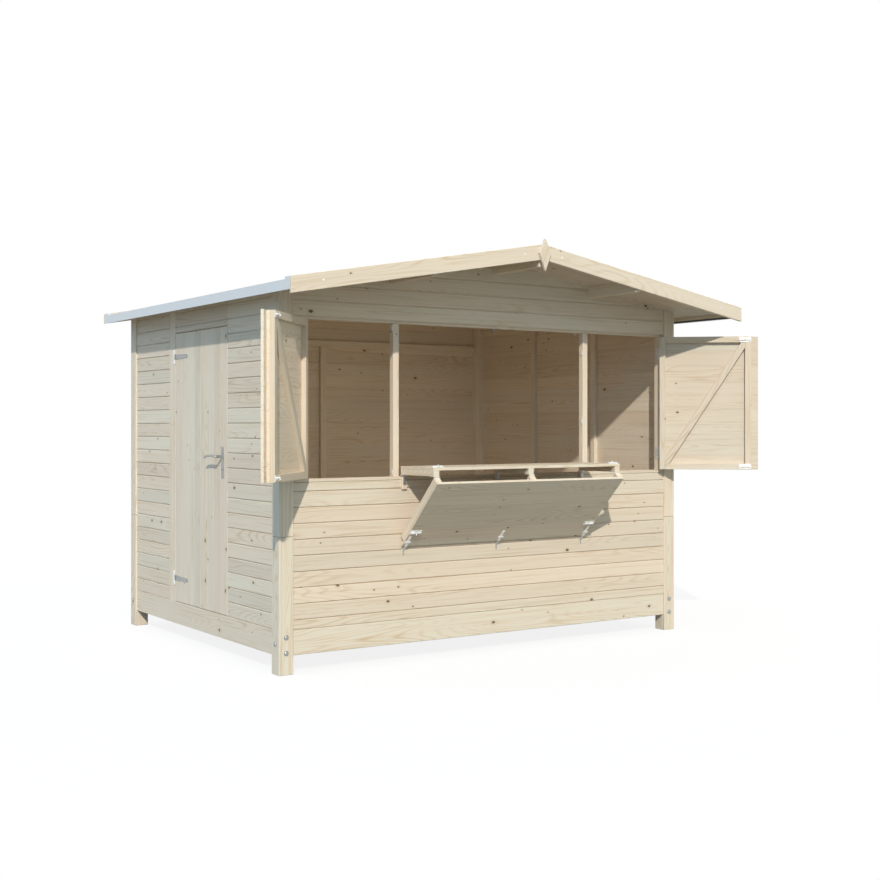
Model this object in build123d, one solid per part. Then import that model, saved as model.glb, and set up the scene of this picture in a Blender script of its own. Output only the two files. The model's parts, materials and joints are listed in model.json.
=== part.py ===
from build123d import *
from math import asin, atan, cos, degrees, radians, sin, sqrt
import os

# Wooden market stall. Millimetres, +Z up, front towards -Y, +X to the right along the front.
# The origin is on the ground, under the middle of the front left corner post. The pieces are drawn round
# the middle of the stall and moved to that origin when they are written.

# ---- Plan and posts ----
stall_width = 3000.0          # over the corner posts, along the front
stall_depth = 2280.0          # over the corner posts, front to back
post_size = 90.0
foot_height = 105.0           # clear height under the walls

# ---- Wall make-up ----
wall_recess = 10.0            # cladding and skirting stand back from the post faces
cladding = 19.0               # thickness of the tongued wall boards
stud = 45.0                   # width of the studs and plates behind the cladding
stud_depth = 28.0
side_stud_spacing = 710.0     # between the two studs of the right wall, centre to centre
skirting_height = 140.0
skirting_thickness = 28.0
floor_thickness = 19.0
joist_width = 45.0
joist_count = 5

# ---- Serving opening ----
sill_top = 1090.0
head_height = 1991.0
head_reveal = 16.0            # of the head plate, below the gable's cladding
sill_thickness = 19.0
jamb_width = 40.0             # framing strip between a post and the opening
mullion = 40.0                # square mullions between the three bays
mullion_recess = 17.0         # mullion face behind the post faces
mullion_inset = 755.0         # from the outer face of a post to the mullion beside it

# ---- Roof ----
roof_pitch = 9.9              # degrees
gable_rise = 467.0            # from the head of the opening to the bargeboard tops at the apex
front_overhang = 465.0
back_overhang = 90.0
side_overhang = 163.0
bargeboard_height = 91.0      # measured plumb
back_board_height = 68.0      # bargeboards of the back gable, measured plumb
bargeboard_thickness = 19.0
covering_drop = 14.0          # covering below the bargeboard tops
covering_thickness = 4.0
roof_board = 19.0
ridge_beam_width = 45.0
ridge_beam_height = 95.0
purlin_width = 45.0
purlin_height = 70.0
purlin_from_ridge = 760.0     # centre line, measured level
eave_rail_width = 28.0
eave_rail_height = 30.0
eave_strip_thickness = 3.0
eave_strip_height = 48.0
eave_strip_drop = 6.0         # top of the strips below the upper face of the covering
joint_gap = 0.5               # hairline between two like pieces in one sub-part
finial_width = 90.0
finial_rise = 33.0            # point above the bargeboard tops
finial_shoulder = 54.0        # widest line below the bargeboard tops
finial_drop = 161.0           # lower point below the bargeboard tops
finial_thickness = 18.0

# ---- Leaves ----
leaf_gap = 5.0                # running clearance round every leaf
leaf_board = 16.0             # face boards of shutters and hatch leaves
hinge_pin = 8.0               # diameter of the knuckles on door, shutters and counter
brace_knuckle = 5.0           # diameter of the knuckles between the two hatch leaves
hinge_leaf = 2.5              # thickness of hinge plates
shutter_hinge_set = 6.0       # pins of the shutters, in front of the closed face boards
door_hinge_set = 4.0          # pins of the door, in front of its face
hinge_side = 2.5              # pins stand this far beside the leaf's edge

# ---- Shutters ----
shutter_frame_width = 40.0
shutter_frame_depth = 28.0
shutter_face_recess = 12.0    # closed face boards behind the post faces
cover_strip_width = 70.0
cover_strip_reach = 48.0      # past the free edge, over the mullion
shutter_free_gap = 17.0       # free edge to the mullion, behind the cover strip
left_shutter_open = 134.5     # degrees from closed, at rest
right_shutter_open = 137.5
shutter_hinge_height = 80.0
shutter_hinge_inset = 110.0   # hinge centre from the leaf's top or bottom
bolt_length = 80.0
bolt_width = 34.0
bolt_plate = 2.0
bolt_rod = 9.0                # diameter of the sliding rod

# ---- Folding hatch in the middle bay ----
counter_share = 0.3885        # counter leaf's depth, as a share of the opening's height
batten_width = 40.0
batten_depth = 35.0
brace_hinge_drop = 2.0        # brace pin below the underside of the counter
hinge_block_width = 32.0
hinge_block_height = 76.0
hinge_block_thickness = 16.0
hinge_block_inset = 21.0      # outer blocks, from the leaf's end to their centre
hatch_hinge_leaf = 38.0       # from the pin to the end of a plate under the battens
hook_plate_height = 50.0
hook_plate_width = 12.0
hook_plate_gap = 5.0          # top of the hook plates below the folded leaf
hook_strap_length = 95.0
hook_strap_width = 18.0
brace_bolt_place = 125.0      # free edge of the brace leaf to the centre of its bolts

# ---- Door in the left wall ----
door_from_front = 696.0       # outer face of the front posts to the door opening
door_width = 807.0
door_head_drop = 1.0          # doorway below the head of the serving opening
door_ledge_width = 95.0
door_ledge_thickness = 22.0
door_ledge_inset = 25.0       # ledges stop short of the leaf's edges
door_ledge_height = 210.0     # centre of the end ledges from the leaf's top or bottom
door_hinge_height = 150.0     # centre of the hinges from the leaf's top or bottom
strap_length = 200.0
strap_width = 34.0
hinge_plate_height = 92.0
hinge_plate_width = 28.0
handle_plate_width = 38.0
handle_plate_height = 190.0
handle_plate_drop = 133.0     # foot of the plate below the lever
handle_height = 1204.0        # lever above the ground
handle_from_edge = 67.0       # lever axis from the leaf's free edge
handle_standoff = 54.0
lever_length = 150.0
lever_diameter = 16.0
neck_diameter = 13.0

# ---- Corner bolts ----
corner_bolt_diameter = 26.0
corner_bolt_head = 9.0
corner_bolt_heights = (122.0, 210.0)   # front and back faces
side_bolt_height = 172.0               # side faces

# ---- Worked-out places ----
half_w = stall_width / 2
half_d = stall_depth / 2
wall_bottom = foot_height + skirting_height
clad_out = wall_recess                      # depths are counted inwards from the post faces
clad_in = wall_recess + cladding
stud_in = clad_in + stud_depth
skirt_in = wall_recess + skirting_thickness
ridge_height = head_height + gable_rise
door_top = head_height - door_head_drop
counter_reach = counter_share * (head_height - sill_top)
slope = sin(radians(roof_pitch)) / cos(radians(roof_pitch))
roof_front = -half_d - front_overhang
roof_back = half_d + back_overhang
deck_depth = covering_drop + covering_thickness
roof_under = deck_depth + roof_board


def block(x0, x1, y0, y1, z0, z1):
    """A straight board or post between three pairs of planes."""
    return Pos((x0 + x1) / 2, (y0 + y1) / 2, (z0 + z1) / 2) * Box(x1 - x0, y1 - y0, z1 - z0)


def prism_xz(points, y0, y1):
    """An outline in the XZ plane, carried from y0 to y1."""
    outline = Wire.make_polygon([(x, y0, z) for x, z in points], close=True)
    return extrude(Face(outline), amount=y1 - y0, dir=(0, 1, 0))


def roof_z(x, depth):
    """Height at x of the plane that lies a given depth under the bargeboard tops."""
    return ridge_height - abs(x) * slope - depth / cos(radians(roof_pitch))


def under_roof(x0, x1, y0, y1, z0, depth=roof_under):
    """A piece on one side of the ridge, cut along its top by the underside of the roof boards."""
    outline = [(x0, z0), (x1, z0), (x1, roof_z(x1, depth)), (x0, roof_z(x0, depth))]
    return prism_xz(outline, y0, y1)


def roof_layer(side, x_near, x_far, depth, thickness, y0, y1):
    """A sloping layer of one roof half, from x_near to x_far off the ridge line."""
    a, b = side * x_near, side * x_far
    bottom = depth + thickness
    outline = [(a, roof_z(a, bottom)), (b, roof_z(b, bottom)), (b, roof_z(b, depth)), (a, roof_z(a, depth))]
    return prism_xz(outline, y0, y1)


def rod(start, end, diameter):
    """A round bar between two points."""
    a, b = Vector(*start), Vector(*end)
    return Solid.make_cylinder(diameter / 2, (b - a).length, Plane(origin=a, z_dir=b - a))


def mirrored(shape):
    """The same piece on the other side of the stall."""
    return mirror(shape, about=Plane.YZ)


def turned_z(shape, x, y, angle):
    """A piece turned about an upright pin."""
    return shape.rotate(Axis((x, y, 0), (0, 0, 1)), angle)


def turned_x(shape, y, z, angle):
    """A piece turned about a level pin that runs along the front."""
    return shape.rotate(Axis((0, y, z), (1, 0, 0)), angle)


# ---- Corner posts ----
def corner_post(side, end):
    x0, x1 = sorted((side * half_w, side * (half_w - post_size)))
    y0, y1 = sorted((end * half_d, end * (half_d - post_size)))
    return under_roof(x0, x1, y0, y1, 0)


# ---- Floor ----
post_in_w = half_w - post_size
post_in_d = half_d - post_size
skirt_w = half_w - skirt_in
skirt_d = half_d - skirt_in


def skirting_boards():
    ends = [sorted((end * (half_d - wall_recess), end * skirt_d)) for end in (-1, 1)]
    sides = [sorted((side * (half_w - wall_recess), side * skirt_w)) for side in (-1, 1)]
    boards = [block(-post_in_w, post_in_w, y0, y1, foot_height, wall_bottom) for y0, y1 in ends]
    boards += [block(x0, x1, -post_in_d, post_in_d, foot_height, wall_bottom) for x0, x1 in sides]
    return boards


def floor_boards():
    panel = block(-skirt_w, skirt_w, -skirt_d, skirt_d, wall_bottom - floor_thickness, wall_bottom)
    for side in (-1, 1):
        for end in (-1, 1):
            panel -= block(*sorted((side * post_in_w, side * half_w)),
                           *sorted((end * post_in_d, end * half_d)), 0, wall_bottom)
    return [panel]


def floor_joists():
    reach = post_in_w - joist_width / 2
    places = [-reach + 2 * reach * i / (joist_count - 1) for i in range(joist_count)]
    top = wall_bottom - floor_thickness
    half = joist_width / 2
    return [block(x - half, x + half, -skirt_d, skirt_d, foot_height, top) for x in places]


# ---- Walls ----
clad_w = half_w - clad_in
clad_d = half_d - clad_in
stud_w = half_w - stud_in
stud_d = half_d - stud_in
sill_under = sill_top - sill_thickness
door_y0 = -half_d + door_from_front
door_y1 = door_y0 + door_width
plate_top = roof_z(half_w - clad_in, roof_under)


def gable_outline(z0):
    """Wall between the posts from z0 up to the underside of the roof boards."""
    eave = roof_z(post_in_w, roof_under)
    peak = roof_z(0, roof_under)
    return [(-post_in_w, z0), (post_in_w, z0), (post_in_w, eave), (0, peak), (-post_in_w, eave)]


def beam_passages(y0, y1):
    """Where the ridge beam and the purlins pass through a gable."""
    return ridge_beam(y0, y1) + purlins(y0, y1)


def ridge_beam(y0, y1):
    half = ridge_beam_width / 2
    bottom = roof_z(0, roof_under) - ridge_beam_height
    outline = [(-half, bottom), (half, bottom), (half, roof_z(half, roof_under)), (0, roof_z(0, roof_under)),
               (-half, roof_z(half, roof_under))]
    return [prism_xz(outline, y0, y1)]


def purlins(y0, y1):
    x0 = purlin_from_ridge - purlin_width / 2
    x1 = purlin_from_ridge + purlin_width / 2
    bottom = roof_z(x0, roof_under) - purlin_height
    right = under_roof(x0, x1, y0, y1, bottom)
    return [mirrored(right), right]


def front_wall():
    y0, y1 = -half_d + clad_out, -half_d + clad_in
    return [block(-post_in_w, post_in_w, y0, y1, wall_bottom, sill_under)]


def front_gable():
    panel = prism_xz(gable_outline(head_height + head_reveal), -half_d + clad_out, -half_d + clad_in)
    for cut in beam_passages(-half_d, -half_d + stud_in):
        panel -= cut
    return [panel]


def back_wall():
    panel = prism_xz(gable_outline(wall_bottom), half_d - clad_in, half_d - clad_out)
    for cut in beam_passages(half_d - stud_in, half_d):
        panel -= cut
    return [panel]


def side_wall(side, y0, y1, z0):
    x0, x1 = sorted((side * (half_w - clad_out), side * (half_w - clad_in)))
    return [under_roof(x0, x1, y0, y1, z0)]


def left_wall_over_door():
    return side_wall(-1, door_y0, door_y1, door_top)


# ---- Framing ----
def wall_plates():
    """Level plates along the tops of the side walls and across the front and back at head height."""
    side = block(stud_w, clad_w, -post_in_d, post_in_d, plate_top - stud, plate_top)
    x_end = post_in_w
    front = block(-x_end, x_end, -clad_d, -stud_d, head_height, head_height + stud)
    back = block(-x_end, x_end, stud_d, clad_d, head_height, head_height + stud)
    return [mirrored(side), side, front, back]


def wall_studs():
    """Upright studs behind the cladding, on the floor boards and under the plates."""
    studs = []
    for y in (-side_stud_spacing / 2, side_stud_spacing / 2):
        studs.append(block(stud_w, clad_w, y - stud / 2, y + stud / 2, wall_bottom, plate_top - stud))
    studs.append(block(-stud / 2, stud / 2, stud_d, clad_d, wall_bottom, head_height))
    for side in (-1, 1):
        x = side * (half_w - mullion_inset - mullion / 2)
        studs.append(block(x - stud / 2, x + stud / 2, -clad_d, -stud_d, wall_bottom, sill_under))
    return studs


def door_frame():
    """Two uprights and a head rail round the doorway, behind the cladding."""
    front = block(-clad_w, -stud_w, door_y0 - stud, door_y0, wall_bottom, plate_top - stud)
    back = block(-clad_w, -stud_w, door_y1, door_y1 + stud, wall_bottom, plate_top - stud)
    head = block(-clad_w, -stud_w, door_y0 + joint_gap, door_y1 - joint_gap, door_top, door_top + stud)
    return [front, back, head]


# ---- Serving opening ----
jamb_x = half_w - post_size - jamb_width
mullion_x = half_w - mullion_inset - mullion      # inner face of a mullion, towards the middle
mullion_front = -half_d + mullion_recess
mullion_back = mullion_front + mullion


def sill():
    return [block(-post_in_w, post_in_w, -half_d + clad_out, -stud_d, sill_under, sill_top)]


def opening_jambs():
    y0, y1 = -half_d + clad_out, -stud_d
    right = block(jamb_x, post_in_w, y0, y1, sill_top, head_height)
    return [mirrored(right), right]


def mullions():
    right = block(mullion_x, mullion_x + mullion, mullion_front, mullion_back, sill_top, head_height)
    return [mirrored(right), right]


# ---- Roof ----
half_roof = half_w + side_overhang
board_front = roof_front + bargeboard_thickness
board_back = roof_back - bargeboard_thickness
strip_x = half_roof - eave_strip_thickness


def roof_boards(side):
    return [roof_layer(side, joint_gap / 2, strip_x, deck_depth, roof_board, board_front, board_back)]


def roof_covering():
    x0 = joint_gap / 2
    return [roof_layer(side, x0, strip_x, covering_drop, covering_thickness, board_front, board_back)
            for side in (-1, 1)]


def eave_rails():
    x0 = strip_x - eave_rail_width
    bottom = roof_z(strip_x, roof_under) - eave_rail_height
    right = under_roof(x0, strip_x, board_front, board_back, bottom)
    return [mirrored(right), right]


def eave_strips():
    top = roof_z(half_roof, covering_drop) - eave_strip_drop
    right = block(strip_x, half_roof, board_front, board_back, top - eave_strip_height, top)
    return [mirrored(right), right]


def bargeboards():
    boards = []
    gables = ((roof_front, board_front, bargeboard_height), (board_back, roof_back, back_board_height))
    for y0, y1, height in gables:
        for side in (-1, 1):
            a, b = side * joint_gap / 2, side * half_roof
            top_a, top_b = roof_z(a, 0), roof_z(b, 0)
            outline = [(a, top_a - height), (b, top_b - height), (b, top_b), (a, top_a)]
            boards.append(prism_xz(outline, y0, y1))
    return boards


def finials():
    outline = [(0, ridge_height - finial_drop), (finial_width / 2, ridge_height - finial_shoulder),
               (0, ridge_height + finial_rise), (-finial_width / 2, ridge_height - finial_shoulder)]
    return [prism_xz(outline, roof_front - finial_thickness, roof_front),
            prism_xz(outline, roof_back, roof_back + finial_thickness)]


# ---- Shutters: drawn closed on the right, then swung open about their pins ----
shutter_bottom = sill_top + leaf_gap
shutter_top = head_height - leaf_gap
shutter_outer = jamb_x - leaf_gap                      # hinge edge
shutter_inner = mullion_x + mullion + shutter_free_gap # free edge
shutter_face = -half_d + shutter_face_recess
shutter_frame_face = shutter_face + leaf_board
shutter_back = shutter_frame_face + shutter_frame_depth
shutter_pin_x = shutter_outer + hinge_side
shutter_pin_y = shutter_face - shutter_hinge_set


def shutter_boards():
    y0, y1 = shutter_face, shutter_frame_face
    return [block(shutter_inner, shutter_outer, y0, y1, shutter_bottom, shutter_top)]


def shutter_frame():
    y0, y1 = shutter_frame_face, shutter_back
    width = shutter_frame_width
    hinge_stile = block(shutter_outer - width, shutter_outer, y0, y1, shutter_bottom, shutter_top)
    free_stile = block(shutter_inner, shutter_inner + width, y0, y1, shutter_bottom, shutter_top)
    x0, x1 = shutter_inner + width + joint_gap, shutter_outer - width - joint_gap
    bottom_rail = block(x0, x1, y0, y1, shutter_bottom, shutter_bottom + width)
    top_rail = block(x0, x1, y0, y1, shutter_top - width, shutter_top)
    z0, z1 = shutter_bottom + width + joint_gap, shutter_top - width - joint_gap
    run = sqrt((x1 - x0) ** 2 + (z1 - z0) ** 2)
    tilt = asin((z1 - z0) / run)
    dx, dz = width / sin(tilt), width / cos(tilt)
    outline = [(x1, z0), (x1, z0 + dz / 2), (x0 + dx / 2, z1), (x0, z1), (x0, z1 - dz / 2), (x1 - dx / 2, z0)]
    brace = prism_xz(outline, y0, y1)
    strip = block(shutter_inner - cover_strip_reach, shutter_inner - cover_strip_reach + cover_strip_width,
                  shutter_face - leaf_board, shutter_face, shutter_bottom, shutter_top)
    return [hinge_stile, free_stile, bottom_rail, top_rail, brace, strip]


def slide_bolt(x0, x1, y, z, up):
    """A barrel bolt along X: plate on the plane y, rod in front of it, on the side that up points to."""
    plate = block(x0, x1, *sorted((y, y + up * bolt_plate)), z - bolt_width / 2, z + bolt_width / 2)
    centre = y + up * (bolt_plate + bolt_rod / 2)
    bar = block(x0, x1, *sorted((y + up * bolt_plate, centre + up * bolt_rod / 2)),
                z - bolt_rod / 2, z + bolt_rod / 2)
    return plate + bar


def shutter_fittings():
    """Two bolts at the free corners and two hinge leaves with their knuckles."""
    pieces = []
    for z in (shutter_bottom + bolt_width / 2 + leaf_gap, shutter_top - bolt_width / 2 - leaf_gap):
        pieces.append(slide_bolt(shutter_inner + joint_gap, shutter_inner + bolt_length, shutter_back, z, 1))
    for z in (shutter_bottom + shutter_hinge_inset, shutter_top - shutter_hinge_inset):
        z0, z1 = z - shutter_hinge_height / 2, z + shutter_hinge_height / 2
        knuckle = rod((shutter_pin_x, shutter_pin_y, z0), (shutter_pin_x, shutter_pin_y, z1), hinge_pin)
        leaf = block(shutter_outer - shutter_frame_width, shutter_pin_x,
                     shutter_face - hinge_leaf, shutter_face, z0, z1)
        pieces.append(knuckle + leaf)
    return pieces


def swung_shutter(pieces, side):
    if side > 0:
        return [turned_z(piece, shutter_pin_x, shutter_pin_y, right_shutter_open) for piece in pieces]
    return [turned_z(mirrored(piece), -shutter_pin_x, shutter_pin_y, -left_shutter_open) for piece in pieces]


# ---- Folding hatch: counter leaf level at the sill, brace leaf folded back under it ----
hatch_half = mullion_x - leaf_gap
counter_back = -half_d + clad_out - leaf_gap
counter_front = counter_back - counter_reach
counter_pin_y = counter_back
counter_pin_z = sill_top + leaf_gap
counter_under = counter_pin_z + leaf_gap
board_under = counter_under + batten_depth
counter_top = board_under + leaf_board
batten_places = (-1, 0, 1)

brace_pin_y = counter_front - hinge_side
brace_pin_z = counter_under - brace_hinge_drop
brace_near = counter_front - 2 * hinge_side
closed_foot = counter_pin_z + (counter_pin_y - brace_near)      # lower edge of the brace leaf when closed
brace_length = head_height - leaf_gap - closed_foot
brace_end = brace_pin_y - hinge_side - brace_length
brace_reach = brace_pin_y - brace_end
# The folded leaf leans back until the edge of its boards stands leaf_gap in front of the wall.
board_drop = brace_hinge_drop + batten_depth
brace_lean = asin((counter_back - brace_pin_y) / sqrt(brace_reach ** 2 + board_drop ** 2)) \
    + atan(board_drop / brace_reach)
brace_fold = 90 + degrees(brace_lean)
# Its battens stop short of that edge, so that their ends stand as far from the wall.
brace_batten_reach = (counter_back - brace_pin_y + brace_hinge_drop * cos(brace_lean)) / sin(brace_lean)
brace_batten_end = brace_pin_y - brace_batten_reach


def batten_x(place):
    centre = place * (hatch_half - batten_width / 2)
    return centre - batten_width / 2, centre + batten_width / 2


def counter_boards():
    return [block(-hatch_half, hatch_half, counter_front, counter_back, board_under, counter_top)]


def counter_battens():
    return [block(*batten_x(place), counter_front, counter_back, counter_under, board_under)
            for place in batten_places]


def top_bolt(x0, x1, y, z):
    """A barrel bolt along X that lies on the plane z."""
    plate = block(x0, x1, y - bolt_width / 2, y + bolt_width / 2, z, z + bolt_plate)
    bar = block(x0, x1, y - bolt_rod / 2, y + bolt_rod / 2, z + bolt_plate, z + bolt_plate + bolt_rod)
    return plate + bar


def under_hinge(x0, x1, pin_y, pin_z, knuckle, toward):
    """Half of a hinge under a batten: its knuckle on the pin, its plate against the batten's underside."""
    y0, y1 = sorted((pin_y, pin_y + toward * hatch_hinge_leaf))
    plate = block(x0, x1, y0, y1, counter_under - hinge_leaf, counter_under)
    return plate + rod((x0, pin_y, pin_z), (x1, pin_y, pin_z), knuckle)


def hinge_halves(place):
    """The two shares of a batten's width that the halves of its hinges take."""
    x0, x1 = batten_x(place)
    middle = (x0 + x1) / 2
    return (x0, middle - joint_gap / 2), (middle + joint_gap / 2, x1)


def counter_fittings():
    """Bolts on the top corners, plates of the wall hinges and plates of the hinges to the brace leaf."""
    y = counter_front + bolt_width / 2 + leaf_gap
    right = top_bolt(hatch_half - bolt_length, hatch_half - joint_gap, y, counter_top)
    pieces = [mirrored(right), right]
    for place in batten_places:
        share = hinge_halves(place)[0]
        pieces.append(under_hinge(*share, counter_pin_y, counter_pin_z, hinge_pin, -1))
        pieces.append(under_hinge(*share, brace_pin_y, brace_pin_z, brace_knuckle, 1))
    return pieces


def folded(pieces):
    return [turned_x(piece, brace_pin_y, brace_pin_z, brace_fold) for piece in pieces]


def brace_boards():
    y1 = brace_pin_y - hinge_side
    return folded([block(-hatch_half, hatch_half, brace_end, y1, board_under, counter_top)])


def brace_battens():
    y1 = brace_pin_y - hinge_side
    return folded([block(*batten_x(place), brace_batten_end, y1, counter_under, board_under)
                   for place in batten_places])


def brace_fittings():
    """Bolts near the free corners, and three hook straps along the free edge."""
    y = brace_end + brace_bolt_place
    right = top_bolt(hatch_half - bolt_length, hatch_half - joint_gap, y, counter_top)
    pieces = [mirrored(right), right]
    for place in batten_places:
        x = place * (hatch_half - hinge_block_inset)
        pieces.append(block(x - hook_strap_width / 2, x + hook_strap_width / 2, brace_end,
                            brace_end + hook_strap_length, counter_top, counter_top + hinge_leaf))
        share = hinge_halves(place)[1]
        pieces.append(under_hinge(*share, brace_pin_y, brace_pin_z, brace_knuckle, -1))
    return folded(pieces)


def hinge_blocks():
    """Wooden blocks on the wall under the sill, one below each hinge of the counter leaf."""
    blocks = []
    y1 = -half_d + clad_out
    for place in batten_places:
        x = place * (hatch_half - hinge_block_inset)
        top = sill_top - joint_gap
        blocks.append(block(x - hinge_block_width / 2, x + hinge_block_width / 2,
                            y1 - hinge_block_thickness, y1, top - hinge_block_height, top))
    return blocks


def counter_hinges():
    """The wall's half of the counter hinges: a knuckle on a short plate on top of each hinge block."""
    pieces = []
    for place in batten_places:
        x0, x1 = hinge_halves(place)[1]
        seat = sill_top - joint_gap
        y0 = -half_d + clad_out - hinge_block_thickness
        plate = block(x0, x1, y0, counter_pin_y, seat, seat + hinge_leaf)
        knuckle = rod((x0, counter_pin_y, counter_pin_z), (x1, counter_pin_y, counter_pin_z), hinge_pin)
        pieces.append(plate + knuckle)
    return pieces


def wall_fittings():
    """Plates on the front wall that the brace leaf hooks on to, and the bolt heads on the posts."""
    pieces = counter_hinges()
    foot_z = brace_pin_z - brace_reach * cos(brace_lean) - (board_drop + leaf_board) * sin(brace_lean)
    y1 = -half_d + clad_out
    for place in batten_places:
        x = place * (hatch_half - hinge_block_inset)
        pieces.append(block(x - hook_plate_width / 2, x + hook_plate_width / 2, y1 - hinge_leaf, y1,
                            foot_z - hook_plate_gap - hook_plate_height, foot_z - hook_plate_gap))
    post_centre = half_w - post_size / 2
    for side in (-1, 1):
        x = side * post_centre
        for z in corner_bolt_heights:
            for end in (-1, 1):
                pieces.append(rod((x, end * half_d, z), (x, end * (half_d + corner_bolt_head), z),
                                  corner_bolt_diameter))
        tip = side * (half_w + corner_bolt_head)
        for end in (-1, 1):
            y = end * (half_d - post_size / 2)
            pieces.append(rod((side * half_w, y, side_bolt_height), (tip, y, side_bolt_height),
                              corner_bolt_diameter))
    return pieces


# ---- Door in the left wall ----
door_out = -half_w + clad_out
door_in = door_out + cladding
leaf_y0 = door_y0 + leaf_gap
leaf_y1 = door_y1 - leaf_gap
leaf_z0 = wall_bottom + leaf_gap
leaf_z1 = door_top - leaf_gap
door_pin_x = door_out - door_hinge_set
door_pin_y = door_y1 - leaf_gap / 2


def door_leaf():
    return [block(door_out, door_in, leaf_y0, leaf_y1, leaf_z0, leaf_z1)]


def door_ledges():
    y0, y1 = leaf_y0 + door_ledge_inset, leaf_y1 - door_ledge_inset
    x0, x1 = door_in, door_in + door_ledge_thickness
    middle = (leaf_z0 + leaf_z1) / 2
    half = door_ledge_width / 2
    return [block(x0, x1, y0, y1, z - half, z + half)
            for z in (leaf_z0 + door_ledge_height, middle, leaf_z1 - door_ledge_height)]


def door_hinge_levels():
    return (leaf_z0 + door_hinge_height, leaf_z1 - door_hinge_height)


def door_hinge_straps():
    """Straps on the door with the knuckles that turn on the pins."""
    pieces = []
    for z in door_hinge_levels():
        z0, z1 = z - strap_width / 2, z + strap_width / 2
        strap = block(door_out - hinge_leaf, door_out, leaf_y1 - strap_length, door_pin_y, z0, z1)
        knuckle = rod((door_pin_x, door_pin_y, z0), (door_pin_x, door_pin_y, z1), hinge_pin)
        pieces.append(strap + knuckle)
    return pieces


def door_hinge_plates():
    """Upright plates on the wall, with a knuckle above and below each strap."""
    pieces = []
    half = hinge_plate_height / 2
    clear = strap_width / 2 + joint_gap
    y0 = door_y1 + hinge_side
    for z in door_hinge_levels():
        plate = block(door_out - hinge_leaf, door_out, y0, y0 + hinge_plate_width, z - half, z + half)
        for z0, z1 in ((z - half, z - clear), (z + clear, z + half)):
            arm = block(door_out - hinge_leaf, door_out, door_y1, door_y1 + hinge_side, z0, z1)
            plate += arm
            plate += rod((door_pin_x, door_pin_y, z0), (door_pin_x, door_pin_y, z1), hinge_pin)
        pieces.append(plate)
    return pieces


def door_handle():
    y = leaf_y0 + handle_from_edge
    lever_x = door_out - handle_standoff
    plate_foot = handle_height - handle_plate_drop
    plate = block(door_out - hinge_leaf, door_out, y - handle_plate_width / 2, y + handle_plate_width / 2,
                  plate_foot, plate_foot + handle_plate_height)
    neck = rod((door_out, y, handle_height), (lever_x, y, handle_height), neck_diameter)
    lever = rod((lever_x, y - lever_diameter / 2, handle_height), (lever_x, y + lever_length, handle_height),
                lever_diameter)
    return [plate + neck + lever]


parts = {
    "post_front_left": [corner_post(-1, -1)],
    "post_front_right": [corner_post(1, -1)],
    "post_back_left": [corner_post(-1, 1)],
    "post_back_right": [corner_post(1, 1)],
    "skirting_boards": skirting_boards(),
    "floor_boards": floor_boards(),
    "floor_joists": floor_joists(),
    "front_wall": front_wall(),
    "front_gable": front_gable(),
    "back_wall": back_wall(),
    "left_wall_front": side_wall(-1, -post_in_d, door_y0, wall_bottom),
    "left_wall_back": side_wall(-1, door_y1, post_in_d, wall_bottom),
    "left_wall_over_door": left_wall_over_door(),
    "right_wall": side_wall(1, -post_in_d, post_in_d, wall_bottom),
    "wall_plates": wall_plates(),
    "wall_studs": wall_studs(),
    "door_frame": door_frame(),
    "sill": sill(),
    "opening_jambs": opening_jambs(),
    "mullions": mullions(),
    "ridge_beam": ridge_beam(board_front, board_back),
    "purlins": purlins(board_front, board_back),
    "roof_boards_left": roof_boards(-1),
    "roof_boards_right": roof_boards(1),
    "roof_covering": roof_covering(),
    "eave_rails": eave_rails(),
    "eave_strips": eave_strips(),
    "bargeboards": bargeboards(),
    "finials": finials(),
    "hinge_blocks": hinge_blocks(),
    "wall_fittings": wall_fittings(),
    "door_hinge_plates": door_hinge_plates(),
    "door_leaf": door_leaf(),
    "door_ledges": door_ledges(),
    "door_hinge_straps": door_hinge_straps(),
    "door_handle": door_handle(),
    "counter_boards": counter_boards(),
    "counter_battens": counter_battens(),
    "counter_fittings": counter_fittings(),
    "brace_boards": brace_boards(),
    "brace_battens": brace_battens(),
    "brace_fittings": brace_fittings(),
}
for name, side in (("left", -1), ("right", 1)):
    parts[f"shutter_{name}_boards"] = swung_shutter(shutter_boards(), side)
    parts[f"shutter_{name}_frame"] = swung_shutter(shutter_frame(), side)
    parts[f"shutter_{name}_fittings"] = swung_shutter(shutter_fittings(), side)

datum_x = half_w - post_size / 2
datum_y = half_d - post_size / 2

os.makedirs("parts", exist_ok=True)
for name, solids in parts.items():
    placed = [Pos(datum_x, datum_y, 0) * solid for solid in solids]
    shape = placed[0] if len(placed) == 1 else Compound(children=placed)
    export_step(shape, f"parts/{name}.step")

print("brace fold", round(brace_fold, 3), "pin", round(brace_pin_y + datum_y, 3), round(brace_pin_z, 3))
print("counter pin", round(counter_pin_y + datum_y, 3), counter_pin_z)
print("shutter pins", datum_x - shutter_pin_x, datum_x + shutter_pin_x, shutter_pin_y + datum_y)
print("door pin", door_pin_x + datum_x, door_pin_y + datum_y)
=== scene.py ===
import json
import math
import random

import bmesh
import bpy
from bpy.props import FloatProperty, FloatVectorProperty, PointerProperty
from bpy.types import Operator, Panel, PropertyGroup
from mathutils import Matrix, Vector


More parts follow.
